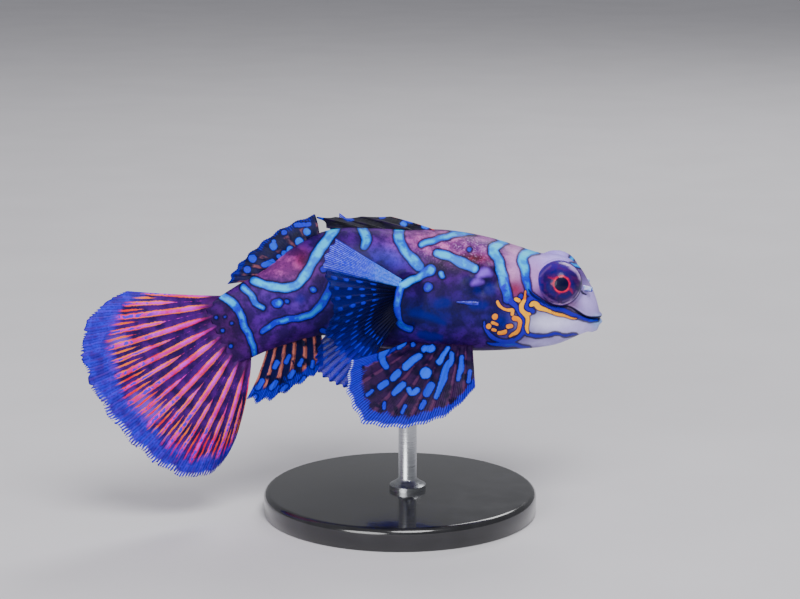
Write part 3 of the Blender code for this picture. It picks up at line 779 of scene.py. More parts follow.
# The eyeballs: two polished resin balls, held in the skin's sockets by their own size.
# The iris is painted round a pupil that looks a little ahead, its marks placed as in the photo.
BALL_RADIUS = 2.98
BALL_RINGS = 120
BALL_AROUND = 160
BOTH_SIDES = (("right", -1), ("left", 1))
PUPIL_PLACE = (561.5, 284.7)
PUPIL_REACH = 7.1  # pixels, as is the ring's
RING_REACH = 8.7
EYE_STROKES = {"flare": (
    (1.0, (556, 280.5, 3.4), (552, 279, 2), (548.5, 278, 1)),
    (1.0, (555, 282, 2), (551.5, 284.5, 1.4)),
    (1.0, (567, 287, 3), (571, 291, 2), (572.5, 294, 1)),
    (1.0, (557, 290, 2.4), (560, 294, 1)),
), "arc": (
    (1.0, (551, 274, 1.5), (556, 271.5, 3), (563, 273, 2.6), (570, 278, 1.5)),
    (1.0, (547, 283, 1.5), (549, 290, 3), (555, 296, 2)),
    (1.0, (560, 296.5, 2), (567, 297.5, 3), (573, 291, 1.5)),
    (1.0, (571.5, 282, 2), (573.5, 288, 2.5)),
), "rim": (
    # the pale rim; its wide stroke over the front and top is a painted reflection on the cornea
    (1.0, (556, 258, 3), (565, 260.5, 7), (572.5, 265, 9), (579, 272, 7), (583, 281, 4)),
    (1.0, (549, 303.5, 1.5), (556, 306, 3), (562, 306.4, 3.4), (569, 304, 3), (577, 298, 2.6),
     (581, 291, 2)),
), "line": (
    (1.0, (541, 292, 1), (548, 299, 1.4), (557, 303, 1.4)),
    (1.0, (538, 284, 1), (542, 294, 1.2), (549, 301, 1)),
    (1.0, (563, 302, 1), (571, 299, 1.4), (577, 292, 1)),
    (1.0, (540, 277, 1), (545, 271, 1.4), (551, 266, 1)),
)}

ball_turn, ball_fall = np.meshgrid(
    np.linspace(0.0, 2 * math.pi, BALL_AROUND + 1), np.linspace(0.0, math.pi, BALL_RINGS + 1)
)
ball_out = np.sin(ball_fall)
ball_places = np.stack(
    (ball_out * np.cos(ball_turn), ball_out * np.sin(ball_turn), np.cos(ball_fall)), axis=-1
)
right_eye = EYE_CENTRE * (1, -1, 1)
right_look = Vector(EYE_LOOKS * (1, -1, 1)).to_track_quat("Z", "Y").to_matrix()
right_ball = right_eye + BALL_RADIUS * ball_places @ np.array(right_look).T
eye_column, eye_row = photo_pixels(right_ball)
eye_values = {
    name: stroke_depths(eye_column, eye_row, strokes)[0] for name, strokes in EYE_STROKES.items()
}
eye_values["rim"] -= 16.0 * smooth_step(ball_fall, 1.1, 1.45)
eye_values["lit"] = smooth_step(eye_row, 280.0, 258.0)
eye_values["side"] = smooth_step(eye_column, 546.0, 535.0)
eye_values["pupil"] = np.hypot(eye_column - PUPIL_PLACE[0], eye_row - PUPIL_PLACE[1])
eye_paint, tree, shader = new_material(
    "eye paint", roughness=0.4, coat=0.2, coat_roughness=0.06, gloss=0.1
)
flare, arc, rim, line, lit, side, pupil = (point_value(tree, name) for name in eye_values)
cloud = noise(tree, 1500, 3)
stir = cloud - 0.5
ring = RING_REACH - pupil + stir * 3.0
colour = painted(
    lit.tint((40, 20, 78), (78, 40, 150)),
    (side, (58, 60, 150)),
    (cloud.rise(0.45, 0.65) * 0.5, (84, 34, 92)),
    ((line + stir).rise(-1.2, 0.6) * 0.45, (120, 92, 150)),
    ((arc + stir * 2).rise(-2.0, 1.0) * 0.6, (16, 12, 104)),
    # pale rim, with a painted reflection over its front and top
    ((rim + stir * 4).rise(-1.6, 1.8) * 0.8, (206, 176, 232)),
    ((flare + stir * 3).rise(-1.2, 1.2) * 0.7, (158, 20, 84)),
    (ring.rise(-0.8, 0.6) * 0.9, (184, 20, 92)),
    (cloud.rise(0.50, 0.58) * ring.rise(0.2, 0.9) * 0.7, (232, 96, 112)),
    ((PUPIL_REACH - pupil).rise(-0.4, 0.4), (0, 0, 44)),
)
put(tree, shader, "Base Color", colour)
for word, side in BOTH_SIDES:
    eyeball = grid_piece(f"eyeball_{word}", right_ball * (1, -side, 1), eye_values)
    belongs(eyeball, eye_paint, "eye", f"eye_{word}")


# The nostrils and the cheek spines: a short resin tube and a thorn on each side, set in the skin.
# They are cones turned to the skin, the tube with its end opened.
NOSTRIL_PLACE = (23.7, 30.5)
NOSTRIL_LOOKS = (0.86, 0.50, -0.06)
NOSTRIL_RADII = (0.40, 0.31)
NOSTRIL_LENGTH = 1.55
NOSTRIL_SUNK = 0.4
NOSTRIL_BORE = 0.2
NOSTRIL_BORED = 0.5
NOSTRIL_SHADE = 30.38  # the tube is violet below this height
SPINE_ROOT = (9.4, 29.4)
SPINE = (-2.7, 0.6, 0.3)
SPINE_RADII = (0.42, 0.08)
SPINE_SUNK = 0.5
SPINE_INWARD = 0.25
SHARP_FROM = math.radians(50)


def flank_width(x, z):
    """How far the skin of the forward body lies from its middle."""
    _, _, centre_z, half_height, half_width = station_values(np.array(x))
    up = np.clip((z - centre_z) / half_height, -1.0, 1.0)
    width = (1 - abs(up) ** SECTION_POWER) ** (1 / SECTION_POWER)
    return half_width * width * (1 - BELLY_WIDER * up)


def cone_mesh(bm, start, direction, length, radii, sides=32):
    way = Vector(direction).normalized()
    turned = way.to_track_quat("Z", "Y").to_matrix().to_4x4()
    bmesh.ops.create_cone(
        bm, cap_ends=True, segments=sides, radius1=radii[0], radius2=radii[1], depth=length,
        matrix=Matrix.Translation(Vector(start) + way * length / 2) @ turned,
    )


def small_piece(name, bm, paint, slot, *nodes):
    """Turns a mesh in millimetres into a smooth piece of the model that replaces the nodes."""
    bmesh.ops.transform(bm, matrix=Matrix.Scale(MM, 4), verts=bm.verts)
    bmesh.ops.recalc_face_normals(bm, faces=bm.faces)
    mesh = made_mesh(name, bm)
    mesh.shade_smooth()
    mesh.set_sharp_from_angle(angle=SHARP_FROM)
    belongs(in_scene(name, mesh), paint, slot, *nodes)


nostril_paint, tree, shader = new_material("nostril paint", roughness=0.4, coat=0.25)
cloud = noise(tree, 2500)
colour = cloud.rise(0.35, 0.65).tint((170, 196, 250), (220, 220, 252))
place = add_node(tree, "ShaderNodeTexCoord", {}, {}, "Object")
height = add_node(tree, "ShaderNodeSeparateXYZ", {}, {"Vector": place}, "Z") / MM
shaded = (height + (cloud - 0.5) * 0.3).rise(NOSTRIL_SHADE, NOSTRIL_SHADE - 0.14)
colour = (shaded * 0.9).tint(colour, (58, 30, 160))
put(tree, shader, "Base Color", colour)
spine_paint, tree, shader = new_material("spine paint", roughness=0.4, coat=0.25)
colour = noise(tree, 2000).rise(0.35, 0.65).tint((40, 32, 140), (84, 76, 196))
put(tree, shader, "Base Color", colour)
for word, side in BOTH_SIDES:
    bm = bmesh.new()
    x, z = NOSTRIL_PLACE
    look = unit(np.array(NOSTRIL_LOOKS) * (1, side, 1))
    foot = np.array((x, side * flank_width(x, z), z)) - look * NOSTRIL_SUNK
    cone_mesh(bm, foot, look, NOSTRIL_LENGTH, NOSTRIL_RADII)
    top = max(bm.faces, key=lambda face: face.calc_center_median().dot(Vector(look)))
    bmesh.ops.inset_individual(bm, faces=[top], thickness=NOSTRIL_RADII[1] - NOSTRIL_BORE)
    bmesh.ops.translate(bm, verts=top.verts, vec=Vector(look * -NOSTRIL_BORED))
    small_piece(f"nostril_{word}", bm, nostril_paint, "skin")
    bm = bmesh.new()
    x, z = SPINE_ROOT
    way = unit(np.array(SPINE) * (1, side, 1))
    foot = np.array((x, side * (flank_width(x, z) - SPINE_INWARD), z)) - way * SPINE_SUNK
    cone_mesh(bm, foot, way, np.linalg.norm(SPINE), SPINE_RADII)
    small_piece(f"cheek_spine_{word}", bm, spine_paint, "skin")


# The tail fin: a thin fan of painted resin, its root set into the end of the skin.
# It is one grid wrapped over both faces, with the rays raised in it and a fringe along its edge.
FIN_SUNK = 0.45
FIN_EDGES = (0.012, 0.04)  # shares across and out over which a fin thins to its edge
CAUDAL_GAPS = 9
CAUDAL_SPREAD = (30.0, -63.0)
CAUDAL_RAY = 19.7
CAUDAL_CORNERS = (0.40, 0.44)
CAUDAL_SWAY = 3.0
CAUDAL_WAVE = 0.5
CAUDAL_ROOT_INSET = 0.25
CAUDAL_GRID = (600, 64)
CAUDAL_FORK = 0.40
CAUDAL_SCALLOP = 0.008
CAUDAL_FRINGE = (0.015, 0.010)  # how deep the fringe is cut, and how far that varies
CAUDAL_RAYS = (0.42, 0.3)  # half widths of the main rays and the later ones
CAUDAL_THREADS = 11  # threads of the fringe in each gap between two rays
CAUDAL_SHEEN = (
    (0.0, (100, 338, 3), (112, 341, 7), (126, 340, 3)),
    (0.0, (136, 398, 7), (147, 408, 14), (156, 414, 8)),
)
BEADS = (52, 40, 226)


def between(pair, share):
    return pair[0] + (pair[1] - pair[0]) * share


def from_ray(a, gaps):
    """How far each share lies from the nearest ray, where 0.5 is half-way to the next."""
    return np.abs((a * gaps + 0.5) % 1.0 - 0.5)


def fin_piece(name, a, t, places, thickness, values):
    """A closed fin on a grid of places, its thickness laid half on either side of them."""
    normals = grid_normals(places, closed=False)
    ends = np.minimum(1.0, np.minimum(a, 1 - a) / FIN_EDGES[0])
    edge = ends * np.minimum(1.0, (1 - t) / FIN_EDGES[1])
    half = (thickness * np.sqrt(np.clip(edge, 0.0, 1.0)) / 2)[..., None]
    both = np.concatenate((places + normals * half, (places - normals * half)[-2::-1]), axis=0)
    on_both = {
        key: np.concatenate((value, value[-2::-1]), axis=0) for key, value in values.items()
    }
    return grid_piece(name, both, on_both)


def fin_shares(columns, rows):
    """Shares across and out on a grid, as two arrays."""
    across, out = np.meshgrid(np.linspace(0.0, 1.0, columns + 1), np.linspace(0.0, 1.0, rows + 1))
    return across, out


a, t = fin_shares(*CAUDAL_GRID)
centre, backward, sideways, upward, half_height, _ = sections(np.array(TAIL_END))
root_reach = half_height - CAUDAL_ROOT_INSET
turn = np.radians(between(CAUDAL_SPREAD, a))
threads = a * CAUDAL_GAPS * CAUDAL_THREADS + 0.9 * np.sin(a * 71) + np.sin(a * 31)
fringe = 0.5 + 0.5 * np.cos(2 * math.pi * threads)
between_rays = 1 - np.cos(2 * math.pi * a * CAUDAL_GAPS)
cut = (CAUDAL_FRINGE[0] + CAUDAL_FRINGE[1] * np.sin(a * 97)) * fringe
out = t * (1 - CAUDAL_SCALLOP * between_rays - cut * t**6)
length = CAUDAL_RAY * (1 - between(CAUDAL_CORNERS, a) * np.abs(2 * a - 1) ** 5) * out
sway = CAUDAL_SWAY * out**2 + CAUDAL_WAVE * np.sin(2 * math.pi * a) * out
caudal_places = (
    centre
    + upward * (root_reach * (1 - 2 * a))[..., None]
    - backward * FIN_SUNK
    + (backward * np.cos(turn)[..., None] + upward * np.sin(turn)[..., None]) * length[..., None]
    + backward * FIN_SUNK * out[..., None]
    + sideways * sway[..., None]
)
ray_gap = (2 * root_reach + np.radians(CAUDAL_SPREAD[0] - CAUDAL_SPREAD[1]) * length) / CAUDAL_GAPS
off_main = from_ray(a, CAUDAL_GAPS)
main_ray = bell(off_main * ray_gap, CAUDAL_RAYS[0])
late_ray = bell((0.5 - off_main) * ray_gap, CAUDAL_RAYS[1]) * smooth_step(t, CAUDAL_FORK, 0.5)
rays = main_ray * smooth_step(t, 0.02, 0.16) + 0.8 * late_ray
sheen = stroke_depths(*photo_pixels(caudal_places), CAUDAL_SHEEN)[0]
caudal = fin_piece(
    "tail_fin", a, t, caudal_places, 0.16 + rays * (0.5 - 0.38 * t),
    {"across": a, "out": t, "ray_gap": ray_gap, "sheen": sheen},
)
caudal_paint, tree, shader = new_material("tail fin paint", roughness=0.5, gloss=0.15)
across, out, ray_gap = (point_value(tree, name) for name in ("across", "out", "ray_gap"))
cloud, fine = noise(tree, 700, 3), noise(tree, 3200, 2, 3.0)
patches = noise(tree, 260, 2, 7.0)
stir, grit, drift = cloud - 0.5, fine - 0.5, patches - 0.5
ray_share = (across + stir * 0.016 * out) * CAUDAL_GAPS
off_ray = ((ray_share + 0.5).maths("FRACT") - 0.5).maths("ABSOLUTE")
from_main = off_ray * ray_gap + grit * 0.22
from_late = (0.5 - off_ray) * ray_gap + grit * 0.20
from_last = (off_ray - 0.25).maths("ABSOLUTE") * ray_gap + grit * 0.14
wide = (0.42 - out * 0.12) * (out + drift * 0.3 + stir * 0.1).rise(0.06, 0.34)
core = (wide * 0.6 - from_main).rise(-0.06, 0.05)
late = (out + drift * 0.3).rise(CAUDAL_FORK, 0.58) * 0.30 - 0.04
late_core = (late * 0.5 - from_late).rise(-0.05, 0.04)
last = out.rise(0.60, 0.74) * 0.17 - 0.05
beads = (out * 80 + cloud * 26 + patches * 12).maths("SINE")
orange = patches.rise(0.40, 0.60).tint((222, 92, 96), (246, 146, 100))
pink = cloud.rise(0.38, 0.62).tint((206, 66, 150), (216, 84, 226))
threads = (across * (CAUDAL_GAPS * CAUDAL_THREADS * 2 * math.pi) + cloud * 9).maths("COSINE")
margin_at = out + drift * 0.16 + stir * 0.14 + threads * 0.014 + across.rise(0.4, 0.1) * 0.04
margin = painted(
    cloud.rise(0.35, 0.65).tint((72, 0, 150), (92, 4, 214)),
    ((threads + grit * 4).rise(0.4, -1.8) * 0.6, (30, 0, 84)),
    (fine.rise(0.54, 0.70) * cloud.rise(0.44, 0.56) * 0.6, (60, 70, 246)),
    (cloud.rise(0.52, 0.66) * margin_at.rise(0.95, 0.85) * 0.6, (120, 50, 170)),
)
colour = painted(
    cloud.rise(0.35, 0.65).tint((38, 18, 70), (76, 42, 112)),
    ((point_value(tree, "sheen") + stir * 14).rise(-9.0, 4.0) * 0.6, (150, 112, 224)),
    ((wide - from_main).rise(-0.05, 0.04), orange),
    (core, pink),
    (core * beads.rise(-0.1, 0.5) * out.rise(0.46, 0.62) * 0.9, BEADS),
    ((late - from_late).rise(-0.05, 0.04), orange),
    (late_core, pink),
    (late_core * beads.rise(0.3, -0.3) * out.rise(0.55, 0.7) * 0.9, BEADS),
    ((last - from_last).rise(-0.04, 0.03), orange),
    ((out + stir * 0.08).rise(0.27, 0.13), cloud.rise(0.3, 0.7).tint((44, 22, 66), (76, 38, 94))),
    (margin_at.rise(0.80, 0.88) * 0.97, margin),
    (out.rise(0.955, 0.985) * (-1.0 * threads).rise(0.1, 0.7) * across.rise(0.3, 0.5),
     (226, 224, 255)),
)
put(tree, shader, "Base Color", colour)
put_bump(tree, shader, fine + threads * out * 0.25, 0.3, 0.00012)
belongs(caudal, caudal_paint, "fin", "fin_caudal")


# The fins of the midline: two on the back and one under the tail, of thin resin set in the skin.
# Each is a fan of rays turned back and leaning out, with blue spots placed as the photo shows them.
# Each fin's first and last root along x, lengths of its rays, rake at both ends and lean.
DORSAL_ONE = ((5.9, -7.3), (7.6, 8.2, 8.4, 7.6, 2.2), (71.0, 78.0), 24.0)
DORSAL_TWO = ((-9.4, -17.3), (2.7, 2.8, 3.0, 3.2, 3.5, 3.7, 3.6, 3.0), (-6.0, 73.0), 24.0)
ANAL = ((-12.1, -18.6), (4.4, 5.8, 6.6, 7.5, 8.2, 8.3, 7.2), (8.0, 36.0), 8.0)
RAY_CURL = 6.0
WEB_THICKNESS = 0.14
FIN_THREADS = 7
RAY_TAPER = 2 / 3
DORSAL_ONE_SPOTS = (
    (0.95, (402.5, 224.6, 4.5), (405, 225.4, 4)),
    (0.95, (423.5, 227.4, 4), (427, 228, 3.6)),
    (0.6, (440.7, 229.4, 3)),
    (0.35, (400.7, 219, 2.6), (412, 223.6, 2.6)),
    (0.2, (381, 217.9, 3.6), (384, 217.6, 3.6)),
    (0.1, (360, 214.5, 3)),
    (0.2, (320.7, 220, 5)),
    (0.1, (345, 219, 3), (352, 221, 3)),
)
DORSAL_TWO_SPOTS = (
    (0.30, (320, 220, 6)),
    (0.9, (307, 232.5, 7)),
    (0.8, (299, 241.7, 8)),
    (0.8, (290, 250, 7)),
    (0.4, (284, 254, 6)),
    (0.3, (279, 257, 4)),
    (0.45, (273.5, 247, 8)),
    (0.45, (274, 242, 4)),
    (0.2, (252.5, 259.5, 8)),
    (0.15, (247.6, 270.5, 7)),
    (0.3, (264, 265.5, 5), (272, 262.5, 6)),
    (0.10, (296, 226, 4), (309, 225, 3)),
    (0.10, (284, 233, 5)),
    (0.6, (301, 251, 3), (306, 249, 4)),
)
ANAL_SPOTS = (
    (0.5, (262, 354, 3), (258, 362, 3.6)),
    (0.8, (277, 362.5, 5), (274.5, 367, 5)),
    (0.5, (289.5, 356, 3), (286, 362, 4)),
    (0.7, (293, 372, 4), (289.5, 377, 4.4)),
    (0.5, (301.5, 360, 3.4), (299, 365, 4)),
    (0.6, (304, 378, 3), (300, 383, 3.4)),
    (0.7, (276, 382, 4.4), (271, 388, 4.4)),
    (0.5, (262, 381, 4), (257, 388, 4)),
    (0.4, (255, 397, 4)),
    (0.5, (286, 386, 3.6), (281, 391, 3.6)),
    (0.4, (313, 362, 3), (312, 367, 3)),
)


def body_places(x, angle, lift=0.0):
    """The skin at stations x and an angle in degrees, raised by lift."""
    shape = sections(x)
    offsets = ring_places(shape, np.radians(angle))
    return shape[0] + offsets + unit(offsets) * lift


def read_along(values, share):
    """Values read off a row of evenly spaced ones."""
    return np.interp(share * (len(values) - 1), range(len(values)), values)


def spotted_paint(name, gaps, web, ray_colour, rays, margin, spot_colours):
    """Paint for a fin: rays on a dark web, blue spots with dark rings, a blue edge and pale tips.

    rays holds how wide the rays are, as a share of their gap, and where they start and end.
    """
    made, tree, shader = new_material(name, roughness=0.5, gloss=0.15)
    across, out, edge = (point_value(tree, name) for name in ("across", "out", "edge"))
    cloud, fine = noise(tree, 800, 3), noise(tree, 3200, 2, 3.0)
    stir, grit = cloud - 0.5, fine - 0.5
    off_ray = (((across + stir * 0.03) * gaps + 0.5).maths("FRACT") - 0.5).maths("ABSOLUTE")
    width, start, end = rays
    shown = cloud.rise(0.40, 0.56) * out.rise(start - 0.1, start) * out.rise(end + 0.1, end)
    threads = (across * (gaps * FIN_THREADS * 2 * math.pi) + cloud * 4).maths("COSINE")
    ragged = point_value(tree, "spot") + grit * 1.4 + stir * 3.0
    spot_colour = point_value(tree, "spot_tone").tint(*spot_colours)
    blue = (threads + grit * 2).rise(-0.6, 1.0).tint(*margin)
    tips = (-1.0 * threads).rise(0.1, 0.6) * edge.rise(0.5, 1.5)
    colour = painted(
        cloud.rise(0.35, 0.65).tint(*web),
        ((width - off_ray + grit * 0.14).rise(-0.03, 0.05) * shown, ray_colour),
        ((edge + stir * 3.0 + threads * 0.12).rise(-0.25, 0.35), blue),
        (ragged.rise(-2.6, -0.7) * 0.85, (8, 6, 52)),
        (ragged.rise(-0.7, 0.4), (ragged.rise(1.6, 0.0) * 0.6).tint(spot_colour, (24, 30, 224))),
        (out.rise(0.955, 0.985) * tips, (214, 220, 255)),
    )
    put(tree, shader, "Base Color", colour)
    put_bump(tree, shader, fine + threads * out * 0.4, 0.3, 0.00012)
    return made


def spotted_fin(name, node, side, a, t, places, gaps, forks, spots, edge, paint, width, height):
    """A fin with raised rays that may fork half-way, its spots read at the photo's pixels.

    side is 1 for the mirror image of the places on the left, edge how many millimetres each place
    lies inside the coloured edge, and width and height are those of the rays at their roots.
    """
    main = bell(from_ray(a, gaps), width)
    if forks:
        apart = 0.25 * smooth_step(t, 0.3, 0.8)
        split = sum(bell(from_ray(a + way * apart / gaps, gaps), 0.1) for way in (1, -1))
        forked = smooth_step(t, 0.3, 0.55)
        main = main * (1 - forked) + split * forked * 0.7
    column, row = photo_pixels(places)
    depth, tone = stroke_depths(column, row, spots)
    values = {"across": a, "out": t, "edge": edge, "spot": depth, "spot_tone": tone}
    thickness = WEB_THICKNESS + main * height * (1 - RAY_TAPER * t)
    piece = fin_piece(name, a, t, places * (1, -side, 1), thickness, values)
    belongs(piece, paint, "fin", node)


def scalloped(a, t, gaps, deep, fringe_deep):
    """How far out each share reaches once the edge dips between rays and is cut into a fringe."""
    dips = (1 - np.cos(2 * math.pi * a * gaps)) / 2
    cuts = 0.5 + 0.5 * np.cos(2 * math.pi * a * gaps * FIN_THREADS)
    return t * (1 - deep * dips - fringe_deep * cuts * t**6)


def midline_fin(name, node, fan, up, grid, scallops, edge, forks, spots, paint_name, *colours):
    """A fin on the body's midline: up is 1 on the back and -1 on the belly.

    fan holds its roots' x, its rays' lengths, their rake at both ends and how far it leans out,
    scallops how deep its edge and fringe are cut, and edge what its coloured edge starts at and
    gains across and out.
    """
    root_x, lengths, rake, lean = fan
    gaps = len(lengths) - 1
    a, t = fin_shares(*grid)
    out = scalloped(a, t, gaps, *scallops)
    x = between(root_x, a)
    _, backward, sideways, upward, _, _ = sections(x)
    root = body_places(x, np.full_like(x, 90.0 * up), -FIN_SUNK)
    tilt = np.radians(between(rake, a) + RAY_CURL * out)[..., None]
    side = math.tan(math.radians(lean)) * out[..., None]
    direction = unit(upward * (up * np.cos(tilt)) + backward * np.sin(tilt) + sideways * side)
    places = root + direction * ((read_along(lengths, a) + FIN_SUNK) * out)[..., None]
    paint = spotted_paint(paint_name, gaps, *colours)
    inside = edge[0] + edge[1] * a + edge[2] * t
    spotted_fin(name, node, -1, a, t, places, gaps, forks, spots, inside, paint, 0.14, 0.42)


midline_fin(
    "first_dorsal_fin", "fin_dorsal_first", DORSAL_ONE, 1, (200, 40),
    (0.04, 0.0), (0.22, -21.0, 0.0), False, DORSAL_ONE_SPOTS,
    "first dorsal paint", ((3, 2, 16), (12, 6, 34)), (30, 14, 50), (0.10, 0.1, 0.9),
    ((190, 56, 44), (232, 96, 60)), ((24, 30, 180), (10, 140, 236)),
)
midline_fin(
    "second_dorsal_fin", "fin_dorsal_second", DORSAL_TWO, 1, (210, 50),
    (0.07, 0.02), (-3.87, 0.0, 4.5), True, DORSAL_TWO_SPOTS,
    "second dorsal paint", ((10, 6, 44), (24, 12, 66)), (112, 72, 84), (0.16, 0.0, 0.55),
    ((16, 12, 92), (34, 30, 160)), ((26, 34, 190), (14, 140, 236)),
)
midline_fin(
    "anal_fin", "fin_anal", ANAL, -1, (180, 50),
    (0.07, 0.02), (-5.18, 0.0, 7.0), True, ANAL_SPOTS,
    "anal fin paint", ((8, 6, 48), (22, 12, 66)), (176, 112, 104), (0.18, 0.1, 0.66),
    ((6, 16, 130), (12, 60, 220)), ((24, 44, 200), (50, 116, 246)),
)


# The pectoral fins: two fans of painted resin on the lobes behind the gills, letting some light by.
# Each is creased along one ray, with the panel above the crease turned up to the light.
PECTORAL_GAPS = 19
PECTORAL_OUT = (22.0, 24.0, 42.0, 52.0, 46.0, 36.0, 27.0, 22.0, 12.0)
PECTORAL_RIM = (74.0, -56.0)
PECTORAL_SPREAD = (33.0, -56.0)
PECTORAL_LENGTHS = (10.5, 10.8, 11.1, 11.8, 12.4, 12.8, 12.6, 11.6, 10.6)
PECTORAL_CUP = 0.8
PECTORAL_CUP_EDGE = 0.6
PECTORAL_STREAKS = 5  # pale streaks to each gap between two rays
CREASE = 0.17

a, t = fin_shares(280, 50)
out = scalloped(a, t, PECTORAL_GAPS, 0.03, 0.0)
turn = np.radians(between(PECTORAL_SPREAD, a))
rim_turn = np.radians(between(PECTORAL_RIM, a))
away = np.radians(read_along(PECTORAL_OUT, a))
back = np.stack((-np.cos(away), -np.sin(away), np.zeros_like(a)), axis=-1)
lobe_out = math.radians(PECTORAL_LOBE_OUT)
lobe_back = np.array((-math.cos(lobe_out), -math.sin(lobe_out), 0.0))
up = np.array((0.0, 0.0, 1.0))
across_rim, up_rim = np.cos(rim_turn) / PECTORAL_LOBE[0], np.sin(rim_turn) / PECTORAL_LOBE[2]
on_rim = 1 / np.hypot(across_rim, up_rim) - FIN_SUNK
cup = PECTORAL_CUP * (np.cos(math.pi * (a - 0.5)) - PECTORAL_CUP_EDGE) * out**2
ray_length = (read_along(PECTORAL_LENGTHS, a) + FIN_SUNK) * out
to_rim = lobe_back * np.cos(rim_turn)[..., None] + up * np.sin(rim_turn)[..., None]
pectoral_places = (
    PECTORAL_HUB * (1, -1, 1)
    + to_rim * on_rim[..., None]
    + (back * np.cos(turn)[..., None] + up * np.sin(turn)[..., None]) * ray_length[..., None]
    + np.array((0.0, -1.0, 0.0)) * cup[..., None]
)
pectoral_thickness = 0.12 + bell(from_ray(a, PECTORAL_GAPS), 0.22) * (0.28 - 0.18 * t)
pectoral_paint, tree, shader = new_material("pectoral fin paint", roughness=0.5, gloss=0.1)
across, out = point_value(tree, "across"), point_value(tree, "out")
cloud, fine = noise(tree, 900, 3), noise(tree, 3500, 2, 3.0)
stir, grit = cloud - 0.5, fine - 0.5
off_ray = ((across * PECTORAL_GAPS + 0.5).maths("FRACT") - 0.5).maths("ABSOLUTE")
lit = (CREASE - across + stir * 0.02).rise(-0.015, 0.015)
dots = (out * 34 + cloud * 5).maths("SINE") + off_ray.rise(0.24, 0.08) * 1.2 + grit
shade = painted(
    (out + stir * 0.3).rise(0.1, 0.8).tint((3, 2, 24), (26, 6, 96)),
    (across.rise(0.45, 0.85) * (out + stir * 0.3).rise(0.35, 0.95) * 0.9, (96, 56, 210)),
    (off_ray.rise(0.20, 0.08) * 0.6, (8, 8, 60)),
    (dots.rise(1.2, 1.7) * out.rise(0.22, 0.40) * out.rise(1.0, 0.8) * 0.9, (24, 36, 220)),
)
streaks = (across * (PECTORAL_GAPS * PECTORAL_STREAKS * 2 * math.pi) + cloud * 3).maths("COSINE")
bright = painted(
    (out + stir * 0.4).rise(0.0, 0.6).tint((60, 150, 246), (84, 88, 222)),
    (out.rise(0.7, 1.0) * 0.7, (96, 60, 210)),
    ((streaks + grit * 3).rise(0.0, 1.2) * 0.7, (168, 182, 252)),
    ((streaks + grit * 2).rise(-0.3, -1.2) * 0.5, (60, 54, 190)),
)
colour = lit.tint(shade, bright)
put(tree, shader, "Base Color", colour)
put(tree, shader, "Alpha", lit * 0.08 + 0.92 - out.rise(0.3, 1.0) * off_ray.rise(0.1, 0.3) * 0.22)
put_bump(tree, shader, fine, 0.3, 0.0001)
for word, side in BOTH_SIDES:
    piece = fin_piece(
        f"pectoral_fin_{word}", a, t, pectoral_places * (1, -side, 1), pectoral_thickness,
        {"across": a, "out": t},
    )
    belongs(piece, pectoral_paint, "fin", f"fin_pectoral_{word}")


# The pelvic fins: two broad fans of painted resin spread out under the belly, rooted in the skin.
# Maroon webs carry light blue spots inside a wide blue edge with a fringe of pale tips.
PELVIC_ROOT = (9.3, 1.4)
PELVIC_SIDE = -52.0
PELVIC_RAYS = (6.0, 10.2, 12.7, 14.4, 12.2, 8.4)
PELVIC_TURN = (-3.0, 80.0)
PELVIC_OUT = math.radians(40)
PELVIC_BACK_OUT = math.radians(30)
PELVIC_CUP = 0.8
PELVIC_EDGE = 1.2
PELVIC_REAR_EDGE = 2.4
PELVIC_SPOTS = (
    (0.7, (424, 350.5, 6), (432, 349.6, 7)),
    (0.7, (419.5, 357, 6.5), (412, 362, 6.5), (405.5, 368, 6.5)),
    (0.5, (398, 374, 6), (393, 379, 6.5)),
    (0.4, (386.5, 383.5, 5), (380, 388, 5.5)),
    (0.9, (424.5, 374.5, 10), (426, 374.2, 11)),
    (0.5, (403, 385.5, 5.5), (398, 390, 6.5), (394, 394, 5)),
    (0.7, (408.5, 390.5, 5), (411, 394, 5), (417, 391, 5.5)),
    (0.3, (431.5, 386, 7), (426.5, 394, 7)),
    (0.8, (448, 349, 3), (443, 357, 4.5), (438.6, 363.5, 5.5)),
    (0.5, (451.5, 355, 4.4), (451.5, 361, 5), (446, 368, 6), (443, 380, 6.4), (439, 390, 5.4),
     (435.5, 398, 3.4)),
    (0.4, (461.5, 358, 3.4), (461, 369, 5.4), (458, 380, 3.4)),
    (0.4, (392, 344.5, 5), (385.5, 351, 6), (381.8, 356.5, 6), (383, 362.5, 6), (386, 368, 5)),
    (0.5, (404, 344, 4), (399, 348.4, 4.6)),
    (0.2, (424, 403, 5), (421, 408, 4.4)),
    (0.1, (384, 404, 3), (383.5, 409, 3)),
    (0.2, (372, 392, 3.4), (367, 396, 3.4)),
    (0.2, (405, 407, 3), (402, 413, 3)),
    (0.2, (470, 372, 3), (468, 382, 3)),
    (0.3, (413, 346, 4)),
)

gaps = (len(PELVIC_RAYS) - 1) * 2
a, t = fin_shares(240, 60)
out = scalloped(a, t, gaps, 0.02, 0.02)
ray_length = read_along(PELVIC_RAYS, a)
down = np.array((0.0, -math.sin(PELVIC_OUT), -math.cos(PELVIC_OUT)))
back = np.array((-math.cos(PELVIC_BACK_OUT), -math.sin(PELVIC_BACK_OUT), 0.0))
x = between(PELVIC_ROOT, a)
root = body_places(x, np.full_like(x, 180.0 - PELVIC_SIDE), -FIN_SUNK)
turn = np.radians(between(PELVIC_TURN, a))[..., None]
cup = PELVIC_CUP * np.sin(math.pi * out)[..., None] * np.array((0.0, -1.0, 0.0))
reach = ((ray_length + FIN_SUNK) * out)[..., None]
pelvic_places = root + (down * np.cos(turn) + back * np.sin(turn)) * reach + cup
tip_edge = (t - 1) * ray_length + PELVIC_EDGE * (1 + a)
edge = np.maximum(tip_edge, PELVIC_REAR_EDGE * smooth_step(t, 0.0, 0.5) - (1 - a) * 26.0)
